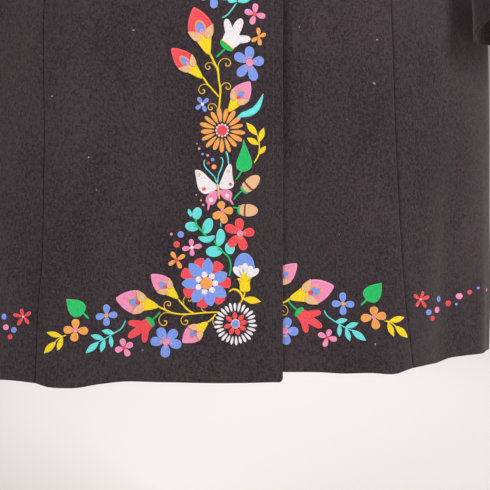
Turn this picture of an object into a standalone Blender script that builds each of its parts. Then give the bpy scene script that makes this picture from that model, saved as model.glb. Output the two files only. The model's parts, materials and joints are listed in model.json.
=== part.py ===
"""A knee-length black wool coat with a wide wrapped front, worn form, hollow.

Metres, +Z up. The front faces -Y and the wearer's left is +X. The origin is the place
between the shoulders, level with the inner ends of the shoulder seams, where the wearer
carries the coat.

The cloth of the body is one smooth form, given by sections from the hem up to the neck.
A place on it is found by a level, which is the height of its section at the side line,
and by an arc, which is the distance round that section from the centre front or the
centre back. The pattern pieces are patches of this form with a seam gap between them.
"""

import functools
import math

import bmesh
import bpy
import numpy as np

# The cloth, its seams and the wrap of the front
CLOTH = 0.0025
SEAM_GAP = 0.0005
LAP = 0.061
LAP_GAP = 0.0022
LEFT_HEM_RISE = 0.0095
RISE_FADES_AT = -0.72
DROP_FADES_AT = -0.78

# The armhole, from the underarm up to the end of the shoulder seam
UNDERARM = -0.245
SHOULDER_TIP = -0.045
NECK = 0.0
ARMHOLE_REACH = {"front": 0.078, "back": 0.070}
SIDE_PANEL_TOP_REACH = {"front": 0.056, "back": 0.052}

# The sleeve and its cuff
CUFF_CENTRE = np.array([0.312, -0.082, -0.644])
CUFF_HALF_WIDTH = 0.054
CUFF_HALF_DEPTH = 0.045
CUFF_TILT = math.radians(15)
SLEEVE_OUTWARD = math.radians(-4)
SLEEVE_FORWARD = math.radians(13)
CUFF_FORWARD = math.radians(15)
SLEEVE_HEAD_GAP = 0.0006

# The collar: a stand and the fall that is turned down over it, with its edge's levels
COLLAR_STAND = 0.030
COLLAR_CLEARANCE = 0.0045
COLLAR_EDGE = {"front": -0.078, "back": -0.040, "side": -0.0165}

# The grids of the pieces and of the sections
ROWS_BELOW_ARMHOLE = 17
ROWS_AT_ARMHOLE = 7
ROWS_AT_SHOULDER = 3
FRONT_COLUMNS = 13
SIDE_COLUMNS = 12
BACK_COLUMNS = 24
SLEEVE_ROWS = 17
COLLAR_ROWS = 12
COLLAR_COLUMNS = 30
OUTLINE_STEPS = 48
SMALL_STEP = 0.003

# Sections from the hem up. side_z is the level. corner is small where the cloth turns
# the side sharply and 0.55 where it is round. crown is how far the front is bowed.
SECTION_COLUMNS = (
    "side_z", "front_z", "back_z", "half_width",
    "front_y", "side_y", "back_y", "front_flat", "back_flat", "corner",
)
SECTIONS = np.array([
    [-1.000, -1.015, -1.012, 0.3020, -0.1050, 0.004, 0.100, 0.168, 0.170, 0.26],
    [-0.940, -0.952, -0.950, 0.3015, -0.1050, 0.003, 0.099, 0.164, 0.168, 0.28],
    [-0.860, -0.868, -0.867, 0.3010, -0.1055, 0.001, 0.099, 0.158, 0.165, 0.29],
    [-0.760, -0.764, -0.764, 0.3012, -0.1060, 0.001, 0.101, 0.152, 0.160, 0.31],
    [-0.650, -0.650, -0.650, 0.3005, -0.1080, 0.002, 0.106, 0.142, 0.150, 0.31],
    [-0.540, -0.540, -0.540, 0.2570, -0.1100, 0.001, 0.106, 0.115, 0.125, 0.42],
    [-0.430, -0.430, -0.430, 0.2180, -0.1120, 0.000, 0.096, 0.085, 0.100, 0.52],
    [-0.340, -0.340, -0.340, 0.2020, -0.1280, 0.000, 0.108, 0.080, 0.105, 0.55],
    [-0.245, -0.250, -0.245, 0.2050, -0.1420, 0.000, 0.122, 0.075, 0.110, 0.55],
    [-0.165, -0.185, -0.165, 0.2060, -0.1340, 0.000, 0.124, 0.070, 0.105, 0.55],
    [-0.100, -0.142, -0.115, 0.2070, -0.1160, 0.000, 0.114, 0.060, 0.090, 0.55],
    [-0.045, -0.112, -0.068, 0.2050, -0.0980, 0.000, 0.098, 0.040, 0.060, 0.55],
    [-0.022, -0.100, -0.040, 0.1400, -0.0860, 0.000, 0.086, 0.030, 0.045, 0.55],
    [0.000, -0.090, -0.020, 0.0780, -0.0740, 0.000, 0.070, 0.020, 0.030, 0.55],
])
FRONT_CROWN = 0.004

# The seams between the front and the side panel, as arcs from the centre front, and
# the seams at the back, as arcs from the centre back. The wearer's right hangs fuller.
SEAM_COLUMNS = ("level", "front_right", "front_left", "back")
SEAMS = np.array([
    [-1.000, 0.188, 0.196, 0.190],
    [-0.930, 0.186, 0.186, 0.187],
    [-0.870, 0.182, 0.182, 0.184],
    [-0.770, 0.182, 0.177, 0.180],
    [-0.650, 0.184, 0.173, 0.176],
    [-0.540, 0.178, 0.168, 0.166],
    [-0.430, 0.172, 0.168, 0.156],
    [-0.340, 0.186, 0.184, 0.170],
])

# The largest folds of the skirt: side is -1 for the wearer's right, face tells whether
# the arc is counted from the centre front or the centre back, and top is where it ends.
FOLD_COLUMNS = ("side", "face", "arc", "width", "depth", "top")
FOLDS = (
    (-1, "front", 0.165, 0.050, 0.0040, -0.76),
    (-1, "front", 0.095, 0.040, -0.0035, -0.86),
    (-1, "front", 0.245, 0.075, 0.0160, -0.70),
    (1, "front", 0.172, 0.030, 0.0050, -0.80),
    (1, "front", 0.245, 0.036, -0.0060, -0.66),
    (1, "front", 0.300, 0.026, 0.0060, -0.72),
    (-1, "back", 0.070, 0.042, 0.0100, -0.66),
    (-1, "back", 0.160, 0.040, -0.0100, -0.62),
    (-1, "back", 0.245, 0.036, 0.0110, -0.72),
    (1, "back", 0.030, 0.038, -0.0080, -0.74),
    (1, "back", 0.120, 0.044, 0.0120, -0.60),
    (1, "back", 0.215, 0.040, -0.0090, -0.70),
)


# How far the hem hangs below its section, by the arc from the centre front. It fades out
# up the skirt, and towards the centre back.
DROP_COLUMNS = ("arc", "right", "left")
HEM_DROP = np.array([
    [0.050, 0.0000, 0.0000],
    [0.096, 0.0020, 0.0022],
    [0.125, 0.0062, 0.0052],
    [0.150, 0.0112, 0.0060],
    [0.172, 0.0120, 0.0080],
    [0.190, 0.0094, 0.0055],
    [0.215, 0.0096, 0.0050],
    [0.235, 0.0112, 0.0062],
    [0.260, 0.0118, 0.0036],
    [0.344, 0.0122, 0.0050],
])


def clear_scene():
    for item in list(bpy.data.objects):
        bpy.data.objects.remove(item, do_unlink=True)


def unit(vector):
    return vector / np.linalg.norm(vector)


def smooth_step(share):
    share = min(max(share, 0.0), 1.0)
    return share * share * (3 - 2 * share)


def hermite(u, start, leave, end, arrive):
    """A cubic curve from start to end with the given directions at its ends."""
    return (
        (2 * u**3 - 3 * u**2 + 1) * start
        + (u**3 - 2 * u**2 + u) * leave
        + (3 * u**2 - 2 * u**3) * end
        + (u**3 - u**2) * arrive
    )


def steady_slopes(knots, values):
    """Slopes that keep a curve between its values: level where they turn back."""
    steps = (np.diff(values, axis=0).T / np.diff(knots)).T
    before, after = steps[:-1], steps[1:]
    same_way = before * after > 0
    middle = np.where(same_way, 2 * before * after / np.where(same_way, before + after, 1), 0)
    return np.concatenate([steps[:1], middle, steps[-1:]])


def through(knots, values, slopes, at):
    """A smooth curve through the values, read at one place."""
    at = min(max(at, knots[0]), knots[-1])
    i = min(int(np.searchsorted(knots, at, side="right")) - 1, len(knots) - 2)
    span = knots[i + 1] - knots[i]
    return hermite(
        (at - knots[i]) / span, values[i], span * slopes[i], values[i + 1], span * slopes[i + 1]
    )


SECTION_SLOPES = steady_slopes(SECTIONS[:, 0], SECTIONS)
DROP_SLOPES = steady_slopes(HEM_DROP[:, 0], HEM_DROP)


@functools.cache
def quarter(level, face):
    """A section from its centre line to its side line: points, arcs to them, end heights."""
    s = dict(zip(SECTION_COLUMNS, through(SECTIONS[:, 0], SECTIONS, SECTION_SLOPES, level)))
    middle_y, flat = s[f"{face}_y"], s[f"{face}_flat"]
    crown = FRONT_CROWN if face == "front" else -FRONT_CROWN
    reach = s["half_width"] - flat
    u = np.linspace(0, 1, OUTLINE_STEPS // 2, endpoint=False)
    flat_part = np.stack([flat * u, middle_y + crown * u**2], axis=1)
    start = np.array([flat, middle_y + crown])
    end = np.array([s["half_width"], s["side_y"]])
    first = start + s["corner"] * reach * np.array([1, 2 * crown / flat])
    second = end - np.array([0, s["corner"] * (end[1] - start[1])])
    u = np.linspace(0, 1, OUTLINE_STEPS)[:, None]
    turn = (
        (1 - u) ** 3 * start
        + 3 * u * (1 - u) ** 2 * first
        + 3 * u**2 * (1 - u) * second
        + u**3 * end
    )
    points = np.concatenate([flat_part, turn])
    steps = np.linalg.norm(np.diff(points, axis=0), axis=1)
    arcs = np.concatenate([[0], np.cumsum(steps)])
    return points, arcs, s[f"{face}_z"], s["side_z"]


def side_arc(level, face):
    return quarter(level, face)[1][-1]


def fold_depth(side, face, arc, level):
    total = 0.0
    for fold_side, fold_face, centre, width, depth, top in FOLDS:
        share = abs(arc - centre) / width
        if fold_side == side and fold_face == face and level < top and share < 1:
            fall = smooth_step((top - level) / (top - SECTIONS[0, 0]))
            total += depth * fall * (1 - smooth_step(share))
    return total


def hem_drop(side, face, arc, reach, level):
    """How much lower a place hangs, where reach is the arc of the side line."""
    if level >= DROP_FADES_AT:
        return 0.0
    at, share = (arc, 1.0) if face == "front" else (HEM_DROP[-1, 0], smooth_step(arc / reach))
    drop = through(HEM_DROP[:, 0], HEM_DROP, DROP_SLOPES, at)[1 if side < 0 else 2]
    return drop * share * smooth_step((DROP_FADES_AT - level) / (DROP_FADES_AT - SECTIONS[0, 0]))


def on_form(side, face, arc, level):
    """A point of the outside of the cloth. An arc below 0 crosses the centre line."""
    if arc < 0:
        side, arc = -side, -arc
    points, arcs, middle_z, side_z = quarter(level, face)
    arc = min(arc, arcs[-1])

    def plan(at):
        return np.array([np.interp(at, arcs, points[:, 0]), np.interp(at, arcs, points[:, 1])])

    along = plan(min(arc + SMALL_STEP, arcs[-1])) - plan(max(arc - SMALL_STEP, 0.0))
    outward = unit(np.array([along[1], -along[0]])) * (1 if face == "front" else -1)
    x, y = plan(arc) + outward * fold_depth(side, face, arc, level)
    z = middle_z + (side_z - middle_z) * smooth_step(arc / arcs[-1])
    return np.array([side * x, y, z - hem_drop(side, face, arc, arcs[-1], level)])


def outward_of(side, face, arc, level):
    """The direction that the cloth faces, which turns smoothly through the side line."""
    low, high = SECTIONS[0, 0], NECK
    up = on_form(side, face, arc, min(level + SMALL_STEP, high)) - on_form(
        side, face, arc, max(level - SMALL_STEP, low)
    )
    reach = side_arc(level, face)
    ahead = on_form(side, face, min(arc + SMALL_STEP, reach), level)
    behind = on_form(side, face, min(arc, reach) - SMALL_STEP, level)
    if arc > reach - SMALL_STEP:
        other = "back" if face == "front" else "front"
        past = SMALL_STEP - max(reach - arc, 0.0)
        ahead = on_form(side, other, side_arc(level, other) - past, level)
    turn = 1 if face == "front" else -1
    return unit(np.cross(ahead - behind, up)) * side * turn


def body_point(side, face, arc, level, lift):
    return on_form(side, face, arc, level) + lift * outward_of(side, face, arc, level)


def armhole_level(turn):
    """The level of the armhole's edge: a turn of 0 is the shoulder and pi the underarm."""
    return UNDERARM + (SHOULDER_TIP - UNDERARM) * (1 + math.cos(turn)) / 2


def armhole_turn(reach, face):
    """The turn at which the armhole's lower half is that far from the side line."""
    return math.pi - math.asin(reach / ARMHOLE_REACH[face])


SEAM_TOP = {
    face: armhole_level(armhole_turn(reach, face)) for face, reach in SIDE_PANEL_TOP_REACH.items()
}


@functools.cache
def seam_arc(level, name):
    """The arc of a panel seam, which ends at the armhole."""
    face = "back" if name == "back" else "front"
    level = min(level, SEAM_TOP[face])
    knots = np.append(SEAMS[:, 0], SEAM_TOP[face])
    top_arc = side_arc(SEAM_TOP[face], face) - SIDE_PANEL_TOP_REACH[face]
    values = np.append(SEAMS[:, SEAM_COLUMNS.index(name)], top_arc)
    return float(through(knots, values, steady_slopes(knots, values), level))


def outer_arc(level, name, face):
    """Where a front or the back ends: its panel seam, the armhole, then the shoulder seam."""
    if level <= SEAM_TOP[face]:
        return seam_arc(level, name)
    share = min((level - UNDERARM) / (SHOULDER_TIP - UNDERARM), 1.0)
    return side_arc(level, face) - ARMHOLE_REACH[face] * 2 * math.sqrt(share * (1 - share))


def levels_of(face):
    """The rows of a front or the back, closer together along the armhole."""
    below = np.linspace(SECTIONS[0, 0], SEAM_TOP[face], ROWS_BELOW_ARMHOLE + 1)
    first_turn = armhole_turn(SIDE_PANEL_TOP_REACH[face], face)
    armhole = [armhole_level(t) for t in np.linspace(first_turn, 0, ROWS_AT_ARMHOLE + 1)[1:]]
    shoulder = np.linspace(SHOULDER_TIP, NECK, ROWS_AT_SHOULDER + 1)[1:]
    return [float(level) for level in (*below, *armhole, *shoulder)]


def left_rise(level, share):
    """The wearer's left side hangs a little higher at the hem, by that share."""
    fall = smooth_step((RISE_FADES_AT - level) / (RISE_FADES_AT - SECTIONS[0, 0]))
    return np.array([0.0, 0.0, LEFT_HEM_RISE * fall * share])


def wool(name, shade):
    material = bpy.data.materials.new(name)
    material.use_nodes = True
    shader = material.node_tree.nodes["Principled BSDF"]
    shader.inputs["Base Color"].default_value = (*shade, 1.0)
    shader.inputs["Roughness"].default_value = 0.95
    shader.inputs["Metallic"].default_value = 0.0
    return material


def cloth_piece(name, place, rows, columns, collection, material):
    """A grid and its copy, joined round the edge, laid on the form as outside and inside.

    place takes the share of the way across, the row and how far to move out.
    """
    shape = bmesh.new()
    bmesh.ops.create_grid(shape, x_segments=columns, y_segments=rows, size=0.5)
    inside = bmesh.ops.extrude_face_region(shape, geom=shape.faces[:], use_keep_orig=True)
    inner = {part for part in inside["geom"] if isinstance(part, bmesh.types.BMVert)}
    for vertex in shape.verts:
        row = round((vertex.co.y + 0.5) * rows)
        vertex.co = place(vertex.co.x + 0.5, row, -CLOTH if vertex in inner else 0.0)
    bmesh.ops.recalc_face_normals(shape, faces=shape.faces)
    mesh = bpy.data.meshes.new(name)
    shape.to_mesh(mesh)
    shape.free()
    mesh.shade_smooth()
    mesh.set_sharp_from_angle(angle=math.radians(50))
    mesh.materials.append(material)
    collection.objects.link(bpy.data.objects.new(name, mesh))


def front_piece(side, collection, material):
    over = side < 0
    name = "front_right" if over else "front_left"
    levels = levels_of("front")
    sunk = CLOTH + LAP_GAP

    def place(share, row, lift):
        level = levels[row]
        seam = outer_arc(level, name, "front") - SEAM_GAP / 2
        arc = -LAP + share * (seam + LAP)
        if over:
            return body_point(side, "front", arc, level, lift)
        # The front that lies beneath is pressed in, which fades out towards its seam
        pressed = sunk * (1 - smooth_step((arc - LAP) / (seam - LAP)))
        return body_point(side, "front", arc, level, lift - pressed) + left_rise(level, 1)

    cloth_piece(name, place, len(levels) - 1, FRONT_COLUMNS, collection, material)


def side_panel_top(share):
    """The level of the side panel's top edge at that share from front to back, and its turn."""
    front, back = SIDE_PANEL_TOP_REACH["front"], SIDE_PANEL_TOP_REACH["back"]
    from_side = -front + share * (front + back)
    face = "front" if from_side < 0 else "back"
    turn = armhole_turn(abs(from_side), face)
    return armhole_level(turn), turn if face == "front" else 2 * math.pi - turn


def side_panel(side, collection, material):
    name = "side_right" if side < 0 else "side_left"
    front_seam = "front_right" if side < 0 else "front_left"
    hem = SECTIONS[0, 0]

    def place(share, row, lift):
        top = side_panel_top(share)[0]
        level = hem + (top - hem) * row / ROWS_BELOW_ARMHOLE
        to_front = side_arc(level, "front") - seam_arc(level, front_seam) - SEAM_GAP / 2
        to_back = side_arc(level, "back") - seam_arc(level, "back") - SEAM_GAP / 2
        from_side = -to_front + share * (to_front + to_back)
        face = "front" if from_side < 0 else "back"
        point = body_point(side, face, side_arc(level, face) - abs(from_side), level, lift)
        return point + left_rise(level, side > 0)

    cloth_piece(name, place, ROWS_BELOW_ARMHOLE, SIDE_COLUMNS, collection, material)


def back_piece(collection, material):
    levels = levels_of("back")

    def place(share, row, lift):
        level = levels[row]
        seam = outer_arc(level, "back", "back") - SEAM_GAP / 2
        across = 2 * share - 1
        point = body_point(1, "back", across * seam, level, lift)
        return point + left_rise(level, smooth_step(across))

    cloth_piece("back", place, len(levels) - 1, BACK_COLUMNS, collection, material)


@functools.cache
def sleeve_rail(turn):
    """The ends of the sleeve's lengthwise curve at that turn, and its directions there."""
    level = armhole_level(turn)
    top, front = math.cos(turn), math.sin(turn)
    face = "front" if front >= 0 else "back"
    arc = side_arc(level, face) - ARMHOLE_REACH[face] * abs(front)
    upper, lower = max(top, 0.0), max(-top, 0.0)
    leave = np.array([
        0.150 + 0.125 * upper - 0.010 * lower,
        -0.035 * front,
        -0.190 + 0.080 * upper + 0.070 * lower,
    ])
    start = on_form(1, face, arc, level) + unit(leave) * SLEEVE_HEAD_GAP
    down = unit(np.array([math.tan(SLEEVE_OUTWARD), -math.tan(SLEEVE_FORWARD), -1.0]))
    across = unit(np.array([1.0, 0.0, math.tan(CUFF_TILT)]))
    ahead = unit(np.array([0.0, -1.0, math.tan(CUFF_FORWARD)]))
    ring = across * CUFF_HALF_WIDTH * top + ahead * CUFF_HALF_DEPTH * front
    arrive = down * (0.46 + 0.10 * upper - 0.04 * lower)
    return start, leave, CUFF_CENTRE + ring, arrive


def sleeve_point(turn, along, lift):
    """The wearer's left sleeve, from the armhole to the cuff, with a rounded cap."""
    point = hermite(along, *sleeve_rail(turn))
    if lift:
        nudge = 0.01
        across = hermite(along, *sleeve_rail(turn + nudge)) - hermite(along, *sleeve_rail(turn - nudge))
        rail = sleeve_rail(turn)
        down = hermite(min(along + nudge, 1), *rail) - hermite(max(along - nudge, 0), *rail)
        point = point + lift * unit(np.cross(across, down))
    return point


def sleeve_turns(part):
    """The sleeve's columns start where the armhole's edge has its corners, so that they meet."""
    if part == "upper":
        back = armhole_turn(SIDE_PANEL_TOP_REACH["back"], "back")
        front = armhole_turn(SIDE_PANEL_TOP_REACH["front"], "front")
        behind = np.linspace(-back, 0, ROWS_AT_ARMHOLE + 1)
        return [*behind, *np.linspace(0, front, ROWS_AT_ARMHOLE + 1)[1:]]
    shares = np.linspace(0, 1, SIDE_COLUMNS + 1)
    return [side_panel_top(share)[1] for share in shares]


def sleeve_piece(side, part, collection, material):
    word = "right" if side < 0 else "left"
    seam_turn = SEAM_GAP / (2 * CUFF_HALF_DEPTH)
    turns = np.array(sleeve_turns(part))
    columns = len(turns) - 1
    turns[0] += seam_turn
    turns[-1] -= seam_turn

    def place(share, row, lift):
        turn = float(turns[round(share * columns)])
        return sleeve_point(turn, row / SLEEVE_ROWS, lift) * np.array([side, 1, 1])

    cloth_piece(f"{part}_sleeve_{word}", place, SLEEVE_ROWS, columns, collection, material)


@functools.cache
def collar_profile(share):
    """The outer face of the collar, across it, at that share of the way round the neck."""
    side = 1 if share >= 0.5 else -1
    reach = {face: side_arc(NECK, face) for face in ("front", "back")}
    walked = abs(share - 0.5) * 2 * (reach["front"] + reach["back"] - CLOTH)
    face = "back" if walked <= reach["back"] else "front"
    at_neck = walked if face == "back" else reach["front"] + reach["back"] - walked
    neck_share = at_neck / reach[face]
    low = COLLAR_EDGE["side"] + (COLLAR_EDGE[face] - COLLAR_EDGE["side"]) * smooth_step(1 - neck_share)

    def above(level, lift):
        return body_point(side, face, neck_share * side_arc(level, face), level, lift)

    neck = above(NECK, 0.0)
    plan = above(NECK, SMALL_STEP) - neck
    outward = unit(np.array([plan[0], plan[1], 0.0]))
    up = np.array([0.0, 0.0, COLLAR_STAND])
    return np.array([
        neck + up * 0.05,
        neck + up * 0.50 - outward * 0.0020,
        neck + up * 0.93 - outward * 0.0025,
        neck + up * 1.08 + outward * 0.0035,
        neck + up * 0.93 + outward * 0.0100,
        neck + up * 0.45 + outward * 0.0130,
        above(0.35 * low, COLLAR_CLEARANCE + 0.006) + up * 0.20,
        above(0.68 * low, COLLAR_CLEARANCE + 0.002) + up * 0.17,
        above(low, COLLAR_CLEARANCE) + up * 0.13,
    ])


def on_collar(share, at):
    profile = collar_profile(min(max(share, 0.0), 1.0))
    stops = np.arange(float(len(profile)))
    return through(stops, profile, np.gradient(profile, axis=0), at * stops[-1])


def collar_piece(collection, material):
    nudge = 0.01

    def place(share, row, lift):
        at = row / COLLAR_ROWS
        point = on_collar(share, at)
        if lift:
            across = on_collar(share, at + nudge) - on_collar(share, at - nudge)
            along = on_collar(share + nudge, at) - on_collar(share - nudge, at)
            point = point + lift * unit(np.cross(across, along))
        return point

    cloth_piece("collar", place, COLLAR_ROWS, COLLAR_COLUMNS, collection, material)


def build_coat():
    clear_scene()
    collection = bpy.data.collections.new("embroidered_coat")
    bpy.context.scene.collection.children.link(collection)
    black = wool("black_wool", (0.040, 0.031, 0.034))
    for side in (-1, 1):
        front_piece(side, collection, black)
        side_panel(side, collection, black)
        sleeve_piece(side, "upper", collection, black)
        sleeve_piece(side, "under", collection, black)
    back_piece(collection, black)
    collar_piece(collection, black)


build_coat()
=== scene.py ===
# %% [markdown]
# # An embroidered wool coat
# The coat is black felted wool, worn shape and hollow, with a wide wrapped front. Bright
# flowers are machine embroidered up the front that lies on top and in a spray along each
# side of the hem. The packed model gives the place and size of each cut piece. This script
# gives the cloth its finer form and its nap, and sews the embroidery onto it.

# %% Load the packed coat
import math
import json

import bmesh
import bpy
import numpy as np
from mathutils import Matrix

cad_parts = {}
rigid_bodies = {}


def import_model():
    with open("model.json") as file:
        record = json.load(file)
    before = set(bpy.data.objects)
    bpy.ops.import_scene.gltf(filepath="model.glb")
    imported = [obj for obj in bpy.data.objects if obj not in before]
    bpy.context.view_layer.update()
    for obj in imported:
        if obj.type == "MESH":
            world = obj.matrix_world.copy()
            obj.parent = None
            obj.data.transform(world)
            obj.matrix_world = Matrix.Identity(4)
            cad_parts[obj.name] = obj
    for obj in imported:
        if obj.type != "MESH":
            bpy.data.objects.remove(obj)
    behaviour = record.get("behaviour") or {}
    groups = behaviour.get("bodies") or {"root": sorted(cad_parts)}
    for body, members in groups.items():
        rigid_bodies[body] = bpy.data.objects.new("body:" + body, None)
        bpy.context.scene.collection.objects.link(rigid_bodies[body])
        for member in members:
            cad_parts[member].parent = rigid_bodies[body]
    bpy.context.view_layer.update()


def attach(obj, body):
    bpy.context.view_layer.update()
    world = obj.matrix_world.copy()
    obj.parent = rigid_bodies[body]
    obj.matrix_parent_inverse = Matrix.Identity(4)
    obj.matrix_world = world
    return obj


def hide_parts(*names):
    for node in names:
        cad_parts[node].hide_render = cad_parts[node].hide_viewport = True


for item in list(bpy.data.objects):
    bpy.data.objects.remove(item, do_unlink=True)
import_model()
bpy.ops.object.select_all(action="DESELECT")

# %% [markdown]
# ## The view
# The photo looks straight at the front of the skirt from nearly a metre away, so the frame
# cuts the coat off above the hips. A pixel of the photo is one millimetre of the front.

# %% Camera
SENSOR_WIDTH, VIEW_ANGLE = 36.0, math.radians(36.2)
camera_data = bpy.data.cameras.new("camera")
camera_data.sensor_width = SENSOR_WIDTH
camera_data.lens = SENSOR_WIDTH / 2 / math.tan(VIEW_ANGLE / 2)
camera = bpy.data.objects.new("camera", camera_data)
camera.location = (0.023, -0.855, -0.8765)
camera.rotation_euler = (math.radians(90), 0, 0)
bpy.context.scene.collection.objects.link(camera)
bpy.context.scene.camera = camera
print("lens", round(camera_data.lens, 1))

# %% [markdown]
# ## A small language for materials
# A finish is mostly arithmetic on noise. Wrapping each socket in a class whose operators
# add Math nodes lets that arithmetic be written as it is on paper.


# %% Socket arithmetic
class Value:
    """A socket of a node tree, with arithmetic on it."""

    def __init__(self, tree, socket):
        self.tree, self.socket = tree, socket

    def node(self, kind, settings=None, **sockets):
        """Adds a node of that type: its settings first, then its sockets by name."""
        added = self.tree.nodes.new(kind)
        for name, value in (settings or {}).items():
            setattr(added, name, value)
        for name, value in sockets.items():
            socket = added.inputs[int(name[1:]) if name[1:].isdigit() else name.replace("_", " ")]
            if isinstance(value, Value):
                self.tree.links.new(value.socket, socket)
            else:
                socket.default_value = value
        return added

    def of(self, kind, output=0, settings=None, **sockets):
        """The value that comes out of a new node."""
        return Value(self.tree, self.node(kind, settings, **sockets).outputs[output])

    def math(self, operation, first, second=0.0):
        return self.of("ShaderNodeMath", 0, {"operation": operation}, i0=first, i1=second)

    def __add__(self, other):
        return self.math("ADD", self, other)

    def __sub__(self, other):
        return self.math("SUBTRACT", self, other)

    def __rsub__(self, other):
        return self.math("SUBTRACT", other, self)

    def __mul__(self, other):
        return self.math("MULTIPLY", self, other)

    __radd__, __rmul__ = __add__, __mul__

    def between(self, low, high):
        """0 below low, 1 above high, and smooth in between."""
        return self.of(
            "ShaderNodeMapRange", 0, {"interpolation_type": "SMOOTHSTEP"},
            Value=self, From_Min=low, From_Max=high,
        )

    def blend(self, shade, other):
        """A colour that goes from shade, where this value is 0, to other, where it is 1."""
        return self.of("ShaderNodeMix", 2, {"data_type": "RGBA"}, i0=self, i6=shade, i7=other)

    def shaded(self, amount):
        """This colour at half its brightness where the amount is 1."""
        settings = {"data_type": "RGBA", "blend_type": "MULTIPLY"}
        return self.of("ShaderNodeMix", 2, settings, i0=amount, i6=self, i7=(0.5, 0.5, 0.5, 1.0))

    def noise(self, size, detail=2.0, rough=0.5):
        """Noise whose blots are about that many metres across, at this place."""
        return self.of(
            "ShaderNodeTexNoise", 0, Vector=self, Scale=1 / size, Detail=detail, Roughness=rough
        )

    def stretch(self, x, y, z):
        """This place, with each of its axes scaled."""
        return self.of("ShaderNodeMapping", 0, None, Vector=self, Scale=(x, y, z))


print("besides its arithmetic, a value has", [name for name in vars(Value) if name[0] != "_"])

# %% [markdown]
# ### Starting and ending a finish
# Every finish starts from the same shader and from the place on the object, and ends with
# links into that shader. What is the same all over the cloth is set as a plain number.


# %% Finish helpers
def new_finish(name, **constants):
    """A material, its shader node and the place on the object, to build a finish from."""
    material = bpy.data.materials.new(name)
    material.use_nodes = True
    tree = material.node_tree
    shader = tree.nodes["Principled BSDF"]
    for socket, value in constants.items():
        shader.inputs[socket.replace("_", " ")].default_value = value
    place = Value(tree, tree.nodes.new("ShaderNodeTexCoord").outputs["Object"])
    return material, shader, place


def wire(shader, place, bump, depth, **values):
    """Links values to the shader, with bump in metres of height."""
    for socket, value in values.items():
        place.tree.links.new(value.socket, shader.inputs[socket.replace("_", " ")])
    normal = place.of("ShaderNodeBump", 0, None, Height=bump, Distance=depth, Strength=1.0)
    place.tree.links.new(normal.socket, shader.inputs["Normal"])


print("finishes so far", [material.name for material in bpy.data.materials])

# %% [markdown]
# ## Felted wool
# Boiled and felted wool has no weave to see. Its short nap lies in streaks that run down
# the cloth, a little purple and a little green where fibres of other dyes show, and bits
# of pale lint stick to it. Sheen lifts it where it turns away from the light.


# %% Wool finish
WOOL = {
    "hollow": (0.0135, 0.0093, 0.0108, 1.0), "tip": (0.0470, 0.0335, 0.0380, 1.0),
    "green": (0.0300, 0.0350, 0.0300, 1.0), "purple": (0.0560, 0.0340, 0.0470, 1.0),
    "patch": (0.0265, 0.0325, 0.0305, 1.0), "lint": (0.42, 0.40, 0.40, 1.0),
}
NAP_SIZE, TUFT_SIZE, FIBRE_SIZE, LINT_SIZE = 0.0024, 0.0011, 0.0065, 0.0040
CLOUD_SIZE, PATCH_SIZE = 0.060, 0.070
DYED_SHARE, PATCH_SHARE, LINT_SHARE = 0.12, 0.26, 0.55
NAP_HEIGHT = 0.0007


def wool_finish():
    material, shader, place = new_finish(
        "black_felted_wool", Sheen_Weight=0.20, Sheen_Roughness=0.45, Specular_IOR_Level=0.18,
        Sheen_Tint=(0.92, 0.80, 0.84, 1.0),
    )
    nap = place.stretch(1.0, 1.0, 0.72).noise(NAP_SIZE, 3.0, 0.70)
    tufts = place.noise(TUFT_SIZE, 2.0, 0.6)
    clouds = place.stretch(1.0, 1.0, 0.5).noise(CLOUD_SIZE, 2.0, 0.5)
    dye = place.noise(FIBRE_SIZE, 2.0, 0.6)
    green, purple = dye.between(0.56, 0.74), (1.0 - dye).between(0.58, 0.76)
    patch = place.stretch(1.0, 1.0, 0.7).noise(PATCH_SIZE, 3.0, 0.6).between(0.55, 0.68)
    lint = place.noise(LINT_SIZE, 0.0).between(0.880, 0.912)
    # The nap's colour follows the noise of its bump: the darker hollows are painted shade and the
    # lighter tips painted light. The slow clouds are uneven tone of the wool.
    light = (nap * 0.52 + tufts * 0.34 + clouds * 0.14).between(0.39, 0.61)
    shade = light.blend(WOOL["hollow"], WOOL["tip"])
    shade = (green * DYED_SHARE).blend(shade, WOOL["green"])
    shade = (patch * PATCH_SHARE).blend(shade, WOOL["patch"])
    shade = (purple * DYED_SHARE).blend(shade, WOOL["purple"])
    shade = (lint * LINT_SHARE).blend(shade, WOOL["lint"])
    wire(
        shader, place, nap * 0.6 + tufts * 0.4, NAP_HEIGHT,
        Base_Color=shade, Roughness=0.86 + nap * 0.12,
    )
    return material


wool = wool_finish()
print(wool.name, len(wool.node_tree.nodes), "nodes")

# %% [markdown]
# ## The form of the coat
# The body is one smooth form, given by sections from the hem up to the neck, the same as
# in the packed model. A place on it has a level, which is the height of its section at the
# side line, and an arc, which is the distance round that section from the centre front or
# the centre back. Written on arrays, one call finds thousands of places.

# %% Sizes in metres and angles
CLOTH = 0.0025
SEAM_GAP = -0.0004
LAP = 0.061
LAP_GAP = 0.0022
LEFT_HEM_RISE = 0.0095
RISE_FADES_AT = -0.72
DROP_FADES_AT = -0.78
UNDERARM = -0.245
SHOULDER_TIP = -0.045
HEM, NECK = -1.0, 0.0
ARMHOLE_REACH = {"front": 0.078, "back": 0.070}
SIDE_PANEL_TOP_REACH = {"front": 0.056, "back": 0.052}
CUFF_CENTRE = np.array([0.312, -0.082, -0.644])
CUFF_HALF_WIDTH = 0.054
CUFF_HALF_DEPTH = 0.045
CUFF_TILT = math.radians(15)
SLEEVE_OUTWARD = math.radians(-4)
SLEEVE_FORWARD = math.radians(13)
CUFF_FORWARD = math.radians(15)
SLEEVE_HEAD_GAP = -0.0012
COLLAR_STAND = 0.030
COLLAR_CLEARANCE = 0.0045
COLLAR_EDGE = {"front": -0.078, "back": -0.040, "side": -0.0165}
OUTLINE_STEPS = 96
SMALL_STEP = 0.003
FRONT_CROWN = 0.004
SIDES = {-1: "right", 1: "left"}
print("cloth", CLOTH, "lap", LAP)

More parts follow.
